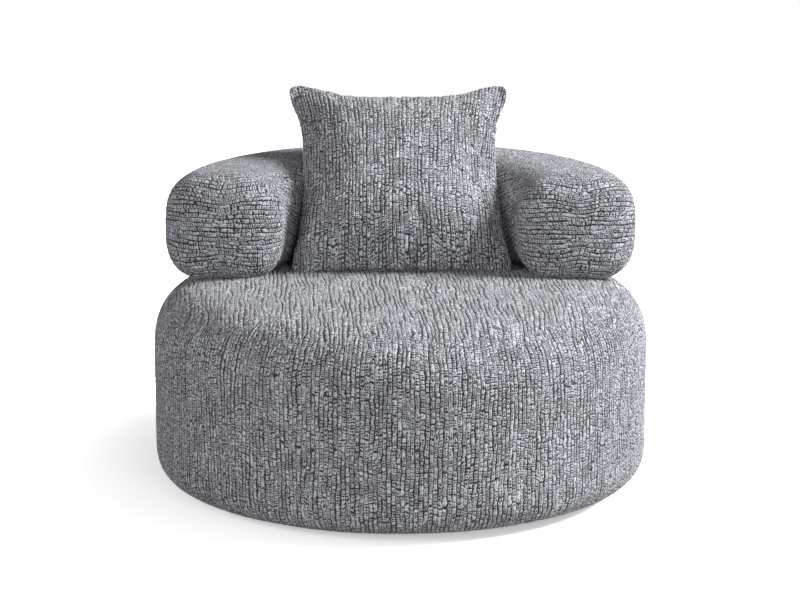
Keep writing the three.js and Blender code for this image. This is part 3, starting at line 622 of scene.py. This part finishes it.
def cushionPiece():
    # the two panels by the shape above, each point moved as the cloth moved, then the relief, the zip's slot,
    # the lean and what presses on the cushion
    cells = cushion["cells"]
    size = cells + 1
    moves = (finer(grid, cells) for grid in blownUp())
    points, quads, front, back, line, u, v = panelPoints(cells, *moves)
    behind = np.concatenate([np.zeros(size * size), np.ones((size - 2) ** 2)])
    normals = vertexNormals(points, quads)
    # the ribs run up the cushion; at its sides the cloth's own length counts, so that cells keep their size
    halfWide, halfHigh = cushion["width"] / 2, cushion["height"] / 2
    counts = (np.concatenate([count.ravel(), count[1:-1, 1:-1].ravel()]) for count in (u, v))
    shareU, shareV = (np.interp(count, line, np.linspace(-1, 1, size)) for count in counts)
    girth = cushion["girthShare"]
    across = 0.5 * (points[:, 0] + shareU * (halfWide + cushion["sideReach"]) * girth)
    across = across + cushion["backStart"] * behind
    along = 0.5 * (points[:, 2] + shareV * halfHigh * girth)
    rimward = np.minimum(1 - np.abs(shareU), 1 - np.abs(shareV)) * halfWide * cushion["rimShare"]
    amount = cushion["clothDepth"] + cushion["rimDepth"] * smoothStep(0, cushion["rimWidth"], rimward)
    points, surface = dressed(points, normals, across, along, cushion["seed"], amount,
                              cushion["clothScale"])
    points[:, 0] -= cushion["skew"] * (2 * points[:, 2] / cushion["height"] - 1)

    # the slot that hides the zip: the bottom seam is drawn up between two straight walls
    row = np.arange(size)
    slotEnd = cushion["slotHalf"]
    drawn = smoothStep(slotEnd + cushion["slotFade"], slotEnd, np.abs(line * halfWide))
    for k, (width, depth) in enumerate(zip(cushion["slotWidths"], cushion["slotDepths"])):
        for numbers, sign in ((front, -1), (back, 1)):
            picked = numbers[row, k]
            target = points[picked].copy()
            target[:, 1] = sign * (width * cushion["slotHalfWidth"])
            target[:, 2] = depth + cushion["bottomDraw"]
            points[picked] += (target - points[picked]) * drawn[:, None]

    points = cushionPlace(points)
    # it has slumped: what overhangs the seat in front of the seam comes down on it, less and less with height
    ahead = np.maximum(cushion["seam"][1] - points[:, 1], 0)
    high = points[:, 2] - cushion["seam"][2]
    points[:, 2] -= cushion["slump"] * ahead * (1 - smoothStep(0, cushion["slumpHeight"], high))
    # it is pressed flat where it rests on the seat and against the bolster
    across = np.hypot(points[:, 0], points[:, 1] - bolster["shift"]) - bolster["radius"]
    up = points[:, 2] - bolster["centreHeight"]
    power = bolster["power"]
    halfWide, halfHigh = (bolster[key] + cushion["bolsterGap"] for key in ("halfWidth", "halfHeight"))
    inside = (np.abs(across) / halfWide) ** power + (np.abs(up) / halfHigh) ** power
    grown = np.where(inside < 1, np.maximum(inside, 1e-6) ** (-1 / power), 1)
    wanted = across * grown + bolster["radius"]
    ratio = wanted / (across + bolster["radius"])
    points[:, 0] *= ratio
    points[:, 1] = bolster["shift"] + (points[:, 1] - bolster["shift"]) * ratio
    points[:, 2] = bolster["centreHeight"] + up * grown
    floor = seatTop(np.hypot(points[:, 0], points[:, 1])) + cushion["seatGap"]
    points[:, 2] = np.maximum(points[:, 2], floor)
    return meshObject("scatter_cushion_upholstery", points, quads, None, surface)


# the dust cover and the zip
dustCover = {"inner": 0.168, "outer": 0.4097, "top": 0.0335, "thick": 0.0006, "sag": 0.0022, "pucker": 0.0006,
             "staples": 36, "edge": 0.03, "puckerRise": 12, "roughness": 0.3, "roughCount": 3, "seed": 61,
             "columns": 576, "rows": 44}


def dustCoverPiece():
    # A thin cloth ring stapled along both edges: it sags by the sine of its share across, most between two
    # staples, where the cosine of the turn's count of staples is lowest
    share, turn = gridOf(np.linspace(0, 1, dustCover["rows"]), fullTurn(dustCover["columns"]))
    between = 0.5 - 0.5 * np.cos(dustCover["staples"] * turn)
    edge = np.exp(-share * (1 - share) / dustCover["edge"])
    count = dustCover["roughCount"]
    rough = 1 + dustCover["roughness"] * softNoise(turn * count, share * count, dustCover["seed"])
    drop = dustCover["sag"] * np.sin(np.pi * share) * rough
    rise = np.sin(np.pi * np.clip(share * dustCover["puckerRise"], 0, 1))
    drop = drop + dustCover["pucker"] * between * edge * rise
    radius = dustCover["inner"] + (dustCover["outer"] - dustCover["inner"]) * share
    upper = around(radius, turn, dustCover["top"] - drop)
    lower = upper - np.array([0, 0, dustCover["thick"]])
    rows, columns = 2 * dustCover["rows"], dustCover["columns"]
    # one row more than there are, numbered as the first one, closes the skin round its section
    quads = tubeQuads(rows + 1, columns) % (rows * columns)
    return meshObject("dust_cover_cloth", np.concatenate([lower, upper[::-1]]).reshape(-1, 3), quads[:, ::-1])


# The zip, in metres. A block is its half length, width and thickness, how far it stands along the zip from
# the slider's place, its height and how square it is.
zipper = {"seamRise": 0.0181, "halfLength": 0.1795, "halfWidth": 0.0037, "tapeHalfThick": 0.0003,
          "toothHalfWidth": 0.0010, "toothRise": 0.00035, "toothPitch": 0.0015, "betweenTeeth": 0.35,
          "tapeSteps": 961, "tapeRound": 40, "tapeSides": 0.8, "tapeFaces": 0.35,
          "blockSteps": 29, "blockRound": 32, "blockTip": 0.06,
          "sliderPlace": -0.166, "body": (0.0058, 0.0031, 0.0014, 0, 0.0159, 5),
          "bridge": (0.0022, 0.0008, 0.0014, -0.0015, 0.0137, 3),
          "tab": (0.0046, 0.0022, 0.0005, 0.0008, 0.0121, 5)}


def cappedSkin(sections):
    # a closed skin over rings of points, with a fan to the middle of the first and of the last ring
    rows, columns = sections.shape[:2]
    points = np.concatenate([sections.reshape(-1, 3), [sections[0].mean(0)], [sections[-1].mean(0)]])
    j = np.arange(columns)
    beside, first, last = (j + 1) % columns, rows * columns, rows * columns + 1
    start = np.stack([beside, j, np.full(columns, first)], -1)
    end = np.stack([(rows - 1) * columns + j, (rows - 1) * columns + beside, np.full(columns, last)], -1)
    return points, tubeQuads(rows, columns), np.concatenate([start, end])


def zipTapePiece():
    # two tapes side by side, whose section is a flat superellipse, thicker by a row of teeth in the middle
    half = zipper["halfLength"]
    x, turn = gridOf(np.linspace(-half, half, zipper["tapeSteps"]), fullTurn(zipper["tapeRound"]))
    wide = zipper["halfWidth"] * signedPower(np.cos(turn), zipper["tapeSides"])
    tooth = np.exp(-(wide / zipper["toothHalfWidth"]) ** 4)
    step = 0.5 + 0.5 * np.cos(2 * np.pi * x / zipper["toothPitch"] + np.where(wide > 0, np.pi, 0))
    least = zipper["betweenTeeth"]
    thick = zipper["tapeHalfThick"] + zipper["toothRise"] * tooth * (least + (1 - least) * step)
    height = zipper["seamRise"] + thick * signedPower(np.sin(turn), zipper["tapeFaces"])
    points, quads, fans = cappedSkin(cushionPlace(np.stack([x, wide, height], -1)))
    return meshObject("cushion_zip_tape_with_teeth", points, quads, fans)


def zipSliderPiece():
    # body, bridge and pull tab: three rounded blocks, each a superellipsoid carried along the zip
    parts = [[], [], []]
    count, tip = 0, zipper["blockTip"]
    for block in ("body", "bridge", "tab"):
        long, wide, thick, away, height, power = zipper[block]
        along, turn = gridOf(-np.cos(np.linspace(tip, np.pi - tip, zipper["blockSteps"])),
                             fullTurn(zipper["blockRound"]))
        girth = (1 - np.abs(along) ** power) ** (1 / power)
        side, up = np.cos(turn), np.sin(turn)
        shape = (np.abs(side) ** power + np.abs(up) ** power) ** (-1 / power) * girth
        rings = np.stack([zipper["sliderPlace"] + away + long * along, wide * side * shape,
                          height + thick * up * shape], -1)
        points, quads, fans = cappedSkin(cushionPlace(rings))
        for kept, new in zip(parts, (points, quads + count, fans + count)):
            kept.append(new)
        count += len(points)
    return meshObject("cushion_zip_slider_body", *(np.concatenate(kept) for kept in parts))


# shader groups and materials
def newGroup(name, inputs, outputs):
    # an empty shader group with named sockets, given as (name, kind, default)
    group = bpy.data.node_groups.new(name, "ShaderNodeTree")
    for label, kind, value in inputs:
        socket = group.interface.new_socket(name=label, in_out="INPUT", socket_type=kind)
        if value is not None:
            socket.default_value = value
    for label, kind in outputs:
        group.interface.new_socket(name=label, in_out="OUTPUT", socket_type=kind)
    return group, group.nodes.new("NodeGroupInput"), group.nodes.new("NodeGroupOutput")


def add(tree, kind, links=None, **settings):
    # a shader node with its settings, and its sockets set or linked by name or number
    node = tree.nodes.new("ShaderNode" + kind)
    for key, value in settings.items():
        setattr(node, key, value)
    for key, value in (links or {}).items():
        if isinstance(value, bpy.types.NodeSocket):
            tree.links.new(value, node.inputs[key])
        else:
            node.inputs[key].default_value = value
    return node


def maths(tree, operation, *values, clamp=False):
    links = dict(enumerate(values))
    return add(tree, "Math", links, operation=operation, use_clamp=clamp).outputs[0]


def vectors(tree, operation, *values):
    return add(tree, "VectorMath", dict(enumerate(values)), operation=operation).outputs[0]


def scaled(tree, vector, factor):
    return add(tree, "VectorMath", {0: vector, 3: factor}, operation="SCALE").outputs[0]


def ranged(tree, value, fromLow, fromHigh, toLow=0.0, toHigh=1.0, kind="LINEAR"):
    # a value carried over from one range to another, and kept inside it
    links = {"Value": value, "From Min": fromLow, "From Max": fromHigh, "To Min": toLow, "To Max": toHigh}
    return add(tree, "MapRange", links, interpolation_type=kind).outputs[0]


def colourMix(tree, share, one, two):
    return add(tree, "Mix", {0: share, 6: one, 7: two}, data_type="RGBA").outputs[2]


# The crackle, in counts of ribs and rungs: how far a noise moves the edges of the cracks and of the finer
# ones, how wide a crack is at no depth and what its depth adds, the sizes of holes and fine cracks, and the
# shares between which they come in. A noise is its scale, detail and roughness.
crackle = {
    "roughNoise": (0.8, 2.0, 0.6), "napNoise": (0.95, 3.0, 0.72),
    "warp": 0.56, "fineWarp": 1.1, "shallowWidth": 0.4, "deeperWidth": 0.9, "ribWidth": 1.6,
    "rungWidth": 1.28, "strength": 1.6, "napRange": (0.30, 0.66), "uneven": (0.60, 1.25), "rowWidth": 2.3,
    "rowLength": 0.46, "rowShares": (0.20, 0.45), "straySize": (0.46, 0.44), "strayShares": (0.22, 0.55),
    "holeStrength": 3.2, "fineWidths": (0.22, 0.20), "fineShares": (0.42, 0.60), "bareness": 8.0,
}


def crackedClothGroup():
    # Cracks at the whole numbers of the two counts, finer ones between them and rows of pinholes, all with
    # edges made uneven by a noise; a lightness for each cell; and the small tufts of the pile
    group, start, end = newGroup("crackedCloth", [
        ("Ribs", "NodeSocketVector", None), ("Plane", "NodeSocketVector", None),
        ("Rib depth", "NodeSocketFloat", 1.0), ("Rung depth", "NodeSocketFloat", 1.0),
        ("Crack width", "NodeSocketFloat", 0.10), ("Fine cracks", "NodeSocketFloat", 0.5),
        ("Pinholes", "NodeSocketFloat", 1.0), ("Tuft size", "NodeSocketFloat", 0.0042)],
        [("Crack", "NodeSocketFloat"), ("Cell", "NodeSocketFloat"), ("Nap", "NodeSocketFloat")])
    given = start.outputs

    def times(product, *factors, clamp=False):
        for factor in factors:
            product = maths(group, "MULTIPLY", product, factor, clamp=clamp)
        return product

    def line(count, halfWidth):
        # 1 on a whole number, falling to 0 at half a width from it
        return ranged(group, maths(group, "PINGPONG", count, 0.5), 0.0, halfWidth, 1.0, 0.0, "SMOOTHSTEP")

    def noise(scale, detail, roughness):
        return add(group, "TexNoise", {"Vector": spot, "Scale": scale, "Detail": detail,
                                                 "Roughness": roughness}, noise_dimensions="2D").outputs

    def ownShare(vector):
        # a share from 0 to 1 that each numbered cell, crack or hole has for itself
        number = vectors(group, "FLOOR", vector)
        return add(group, "TexWhiteNoise", {"Vector": number}, noise_dimensions="2D").outputs["Value"]

    def present(vector, shares):
        return ranged(group, ownShare(vectors(group, "ADD", vector, (0.5, 0.5, 0.0))), *shares)

    spot = scaled(group, given["Plane"], maths(group, "DIVIDE", 1.0, given["Tuft size"]))
    rough, nap = noise(*crackle["roughNoise"]), noise(*crackle["napNoise"])["Fac"]
    shift = vectors(group, "SUBTRACT", rough["Color"], (0.5, 0.5, 0.5))
    place = vectors(group, "ADD", given["Ribs"], scaled(group, shift, crackle["warp"]))
    doubled = scaled(group, given["Ribs"], 2.0)
    finePlace = vectors(group, "ADD", doubled, scaled(group, shift, crackle["fineWarp"]))
    ribs, rungs, _ = add(group, "SeparateXYZ", {0: place}).outputs
    fineRibs, fineRungs, _ = add(group, "SeparateXYZ", {0: finePlace}).outputs
    uneven = ranged(group, nap, *crackle["napRange"], *crackle["uneven"])
    lines = []
    for count, depth, wide in ((ribs, "Rib depth", "ribWidth"), (rungs, "Rung depth", "rungWidth")):
        width = maths(group, "MULTIPLY_ADD", given[depth], crackle["deeperWidth"], crackle["shallowWidth"])
        width = times(width, given["Crack width"], crackle[wide])
        lines.append(times(line(count, width), given[depth], uneven))
    main = times(maths(group, "MAXIMUM", *lines), crackle["strength"])

    # pinholes in rows: on each rib crack at every half rung, and some between the cracks
    broad = times(given["Crack width"], crackle["rowWidth"])
    row = times(line(ribs, broad), line(fineRungs, crackle["rowLength"]))
    rowPlace = add(group, "CombineXYZ", {0: ribs, 1: fineRungs}).outputs[0]
    row = times(row, present(rowPlace, crackle["rowShares"]))
    stray = times(line(fineRibs, crackle["straySize"][0]), line(fineRungs, crackle["straySize"][1]))
    stray = times(stray, present(finePlace, crackle["strayShares"]))
    hole = times(maths(group, "MAXIMUM", row, stray), crackle["holeStrength"], clamp=True)
    hole = times(hole, given["Pinholes"])
    fine = maths(group, "MAXIMUM", *(line(count, width) for count, width in
                                     zip((fineRibs, fineRungs), crackle["fineWidths"])))
    fine = times(fine, ranged(group, rough["Fac"], *crackle["fineShares"]), given["Fine cracks"])
    fine = maths(group, "MAXIMUM", fine, hole)
    # a bare patch, where the ribs' depth is nothing, has no fine cracks either
    fine = times(fine, times(given["Rib depth"], crackle["bareness"], clamp=True))
    # the crack mask, which the material paints near black as painted shade and turns into bumps
    crack = maths(group, "MAXIMUM", main, fine, clamp=True)
    for label, value in (("Crack", crack), ("Cell", ownShare(place)), ("Nap", nap)):
        group.links.new(value, end.inputs[label])
    return group


def newMaterial(name):
    material = bpy.data.materials.new(name)
    material.use_nodes = True
    tree = material.node_tree
    return material, tree, tree.nodes["Principled BSDF"]


# the cloth's colours; the painted crevice shade is a near black painted into cracks, pinholes, seams and
# pattern borders, as painted shade of their valleys and holes
chenille = {
    "light": (0.568, 0.584, 0.640, 1), "dark": (0.192, 0.199, 0.223, 1), "paintedCreviceShade": (0.006, 0.006, 0.008, 1),
    "paintedShadeStrength": 0.98, "fineCracks": 0.66, "crackWidth": 0.146, "tuft": 0.0040,
    "cellShare": 0.22, "napShare": 0.70, "lightness": 0.14, "cracksToNap": -5.0, "bumpDepth": 0.0006,
    "roughness": 0.93, "specular": 0.25, "sheen": 0.2, "sheenRoughness": 0.6,
}


def chenilleMaterial():
    material, tree, shader = newMaterial("chenille")
    detail = add(tree, "Group", node_tree=crackedClothGroup())
    for label, layer in (("Ribs", "ribs"), ("Plane", "clothPlane")):
        tree.links.new(add(tree, "UVMap", uv_map=layer).outputs["UV"], detail.inputs[label])
    for label, layer in (("Rib depth", "ribDepth"), ("Rung depth", "rungDepth")):
        tree.links.new(add(tree, "Attribute", attribute_name=layer).outputs["Fac"], detail.inputs[label])
    for label, key in (("Crack width", "crackWidth"), ("Fine cracks", "fineCracks"), ("Tuft size", "tuft")):
        detail.inputs[label].default_value = chenille[key]
    seam = add(tree, "Attribute", attribute_name="seam").outputs["Fac"]
    # how light a spot is: its cell's own share and the nap
    shared = maths(tree, "MULTIPLY_ADD", detail.outputs["Cell"], chenille["cellShare"], chenille["lightness"])
    napped = maths(tree, "MULTIPLY_ADD", detail.outputs["Nap"], chenille["napShare"], shared, clamp=True)
    shade = colourMix(tree, napped, chenille["dark"], chenille["light"])
    # cracks, pinholes, seams and pattern borders are painted near black: painted shade standing for the
    # shadow in their valleys and holes; the same depth also drives the bump
    depth = maths(tree, "MAXIMUM", detail.outputs["Crack"], seam)
    depth = maths(tree, "MULTIPLY", depth, chenille["paintedShadeStrength"], clamp=True)
    tree.links.new(colourMix(tree, depth, shade, chenille["paintedCreviceShade"]), shader.inputs["Base Color"])
    height = maths(tree, "MULTIPLY_ADD", depth, chenille["cracksToNap"], detail.outputs["Nap"])
    bump = add(tree, "Bump", {"Height": height, "Strength": 1.0, "Distance": chenille["bumpDepth"]})
    tree.links.new(bump.outputs[0], shader.inputs["Normal"])
    for label, key in (("Roughness", "roughness"), ("Specular IOR Level", "specular"),
                       ("Sheen Weight", "sheen"), ("Sheen Roughness", "sheenRoughness")):
        shader.inputs[label].default_value = chenille[key]
    return material


def newPattern(name, label, size):
    # a group that puts out one shade; its place is counted in the pattern's own size
    sockets = [("Vector", "NodeSocketVector", None), (label, "NodeSocketFloat", size)]
    group, start, end = newGroup(name, sockets, [("Shade", "NodeSocketFloat")])
    spot = scaled(group, start.outputs["Vector"], maths(group, "DIVIDE", 1.0, start.outputs[label]))
    return group, end.inputs["Shade"], spot


def woodGrainGroup():
    # year rings as the contour lines of a long noise, and fine fibres along them
    group, shade, spot = newPattern("woodGrain", "Ring width", 0.02)
    along = vectors(group, "MULTIPLY", spot, (0.07, 1.0, 1.0))
    rings = add(group, "TexNoise", {"Vector": along, "Scale": 0.5, "Detail": 1.0}).outputs["Fac"]
    bands = maths(group, "PINGPONG", maths(group, "MULTIPLY", rings, 9.0), 1.0)
    fibre = add(group, "TexNoise", {"Vector": along, "Scale": 14.0, "Detail": 3.0}).outputs["Fac"]
    group.links.new(add(group, "Mix", {0: 0.45, 2: bands, 3: fibre}).outputs[0], shade)
    return group


def speckleGroup():
    # two sizes of noise, as pressed fibres, spangle or moulded grain show
    group, shade, spot = newPattern("speckle", "Grain size", 0.003)
    fine = add(group, "TexNoise", {"Vector": spot, "Scale": 1.0, "Detail": 3.0}).outputs["Fac"]
    flake = add(group, "TexVoronoi", {"Vector": spot, "Scale": 0.25}).outputs["Distance"]
    group.links.new(add(group, "Mix", {0: 0.4, 2: fine, 3: flake}).outputs[0], shade)
    return group


def plainWeaveGroup():
    # two sets of threads at right angles, each a ridge that rises smoothly to its middle; they lie on top by
    # turns, as the squares of a chessboard
    group, shade, spot = newPattern("plainWeave", "Thread width", 0.001)
    split = add(group, "SeparateXYZ", {0: spot}).outputs
    ridges = [ranged(group, maths(group, "PINGPONG", split[axis], 1.0), 0.0, 1.0, kind="SMOOTHSTEP")
              for axis in (0, 1)]
    turns = add(group, "TexChecker", {"Vector": spot, "Scale": 1.0}).outputs["Fac"]
    group.links.new(add(group, "Mix", {0: turns, 2: ridges[0], 3: ridges[1]}).outputs[0], shade)
    return group


# each finish: the group that shades it and its size, a dark and a light colour, the roughness of both, how
# metallic it is, and how deep its bumps are in metres
finishes = {
    "plywood": ("wood", 0.022, (0.40, 0.26, 0.14, 1), (0.68, 0.50, 0.31, 1), 0.62, 0.45, 0.0, 0.0002),
    "timber": ("wood", 0.012, (0.52, 0.37, 0.20, 1), (0.76, 0.60, 0.38, 1), 0.80, 0.62, 0.0, 0.0003),
    "hardboard": ("speckle", 0.0016, (0.13, 0.075, 0.04, 1), (0.30, 0.19, 0.11, 1), 0.55, 0.38, 0.0, 0.0001),
    "zinc_steel": ("speckle", 0.004, (0.44, 0.46, 0.50, 1), (0.68, 0.70, 0.73, 1), 0.42, 0.26, 1.0, 0.00003),
    "nylon": ("speckle", 0.0006, (0.015, 0.015, 0.016, 1), (0.05, 0.05, 0.052, 1), 0.60, 0.42, 0.0, 0.00005),
    "foam": ("speckle", 0.0012, (0.62, 0.56, 0.36, 1), (0.88, 0.83, 0.62, 1), 1.0, 0.85, 0.0, 0.0004),
    "soft_filling": ("speckle", 0.006, (0.70, 0.68, 0.62, 1), (0.93, 0.92, 0.88, 1), 1.0, 0.9, 0.0, 0.0015),
    "webbing": ("weave", 0.0013, (0.008, 0.008, 0.010, 1), (0.045, 0.045, 0.05, 1), 0.9, 0.6, 0.0, 0.0003),
    "black_cloth": ("weave", 0.0008, (0.006, 0.006, 0.006, 1), (0.038, 0.038, 0.04, 1), 0.95, 0.8, 0, 0.0002),
}


def plainFinish(name, groups):
    kind, size, dark, light, darkRough, lightRough, metal, depth = finishes[name]
    material, tree, shader = newMaterial(name + "Finish")
    pattern = add(tree, "Group", node_tree=groups[kind])
    tree.links.new(add(tree, "TexCoord").outputs["Object"], pattern.inputs[0])
    pattern.inputs[1].default_value = size
    shade = pattern.outputs[0]
    bump = add(tree, "Bump", {"Height": shade, "Strength": 0.6, "Distance": depth})
    for label, value in (("Base Color", colourMix(tree, shade, dark, light)), ("Normal", bump.outputs[0]),
                         ("Roughness", ranged(tree, shade, 0.0, 1.0, darkRough, lightRough))):
        tree.links.new(value, shader.inputs[label])
    shader.inputs["Metallic"].default_value = metal
    return material


groups = {"wood": woodGrainGroup(), "speckle": speckleGroup(), "weave": plainWeaveGroup()}
finish = {name: plainFinish(name, groups) for name in finishes}
finish["chenille"] = chenilleMaterial()
for node in nodes.values():
    slots = node.data.materials
    slots[0] = finish[slots[0].name]
print("materials made")

for make, body, replaced, fill in (
        (drumPiece, "seat_unit", ("drum_cover", "side_foam", "seat_core_foam", "seat_top_foam"), 0.95),
        (bolsterPiece, "seat_unit", ("back_cover", "back_foam"), 0.95),
        (cushionPiece, "scatter_cushion", ("cushion_cover", "cushion_filling"), 0.7)):
    piece = make()
    piece.data.materials.append(finish["chenille"])
    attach(piece, body)
    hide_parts(*replaced)
    print("made", piece.name, len(piece.data.polygons), "faces")

for make, body, replaced, slot in ((dustCoverPiece, "seat_unit", "dust_cover", "black_cloth"),
                                   (zipTapePiece, "scatter_cushion", "cushion_zip_tape", "black_cloth"),
                                   (zipSliderPiece, "zip_slider", "cushion_zip_slider", "zinc_steel")):
    piece = make()
    piece.data.materials.append(finish[slot])
    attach(piece, body)
    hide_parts(replaced)
    print("made", piece.name, len(piece.data.polygons), "faces")

# floor and light
studio = {
    "floorColour": (1.30, 1.30, 1.30, 1), "floorBounce": (0.36, 0.36, 0.36, 1), "floorLift": 0.37,
    "floorHalf": 6, "floorRoughness": 0.9, "fadeStart": 0.55, "fadeEnd": 1.25,
    "world": 0.12, "worldTint": (0.97, 0.985, 1.0, 1),
}
# each lamp: where it stands and how wide it is, in metres, and its power in watts
lamps = {
    "key": ((4.15, -0.25, 3.30), 2.2, 640), "fill": ((-3.8, -3.7, 2.3), 3.0, 160),
    "front": ((1.2, -5.0, 0.8), 3.0, 147),
}

world = bpy.data.worlds.new("studio")
bpy.context.scene.world = world
world.use_nodes = True
tree = world.node_tree
background = tree.nodes["Background"]
background.inputs["Color"].default_value = studio["worldTint"]
background.inputs["Strength"].default_value = studio["world"]
shown = add(tree, "Background", {"Color": (1, 1, 1, 1), "Strength": 1.0})
path = add(tree, "LightPath")
seen = maths(tree, "MAXIMUM", path.outputs["Is Camera Ray"], path.outputs["Is Glossy Ray"])
mixed = add(tree, "MixShader", {0: seen, 1: background.outputs[0], 2: shown.outputs[0]})
tree.links.new(mixed.outputs[0], tree.nodes["World Output"].inputs["Surface"])

floorMesh = bpy.data.meshes.new("studio_floor")
half = studio["floorHalf"]
corners = [(-half, -half, 0), (half, -half, 0), (half, half, 0), (-half, half, 0)]
floorMesh.from_pydata(corners, [], [(0, 1, 2, 3)])
floor = newObject("studio_floor", floorMesh)
material, tree, shader = newMaterial("studio_floor")
shader.inputs["Roughness"].default_value = studio["floorRoughness"]
shader.inputs["Specular IOR Level"].default_value = 0.0
seen = add(tree, "LightPath").outputs["Is Camera Ray"]
painted = colourMix(tree, seen, studio["floorBounce"], studio["floorColour"])
tree.links.new(painted, shader.inputs["Base Color"])
# the floor grows white with the distance from the object
spot = add(tree, "TexCoord").outputs["Object"]
away = add(tree, "VectorMath", {0: spot}, operation="LENGTH").outputs["Value"]
glow = ranged(tree, away, studio["fadeStart"], studio["fadeEnd"], studio["floorLift"], 1.0, "SMOOTHSTEP")
shader.inputs["Emission Color"].default_value = (1, 1, 1, 1)
tree.links.new(maths(tree, "MULTIPLY", seen, glow), shader.inputs["Emission Strength"])
floorMesh.materials.append(material)


def areaLight(name, place, size, power, target=(0, 0, 0.4)):
    # a round lamp that faces the middle of the chair
    lamp = bpy.data.lights.new(name, "AREA")
    lamp.shape = "DISK"
    lamp.size = size
    lamp.energy = power
    lampObject = newObject(name, lamp)
    lampObject.location = place
    facing = np.array(target, float) - np.array(place, float)
    yaw = math.atan2(facing[1], facing[0])
    pitch = math.acos(-facing[2] / np.linalg.norm(facing))
    lampObject.rotation_euler = (pitch, 0, yaw - math.pi / 2)


for name, (place, size, power) in lamps.items():
    areaLight(name, place, size, power)
bpy.context.scene.view_settings.view_transform = "Standard"

print("finished")
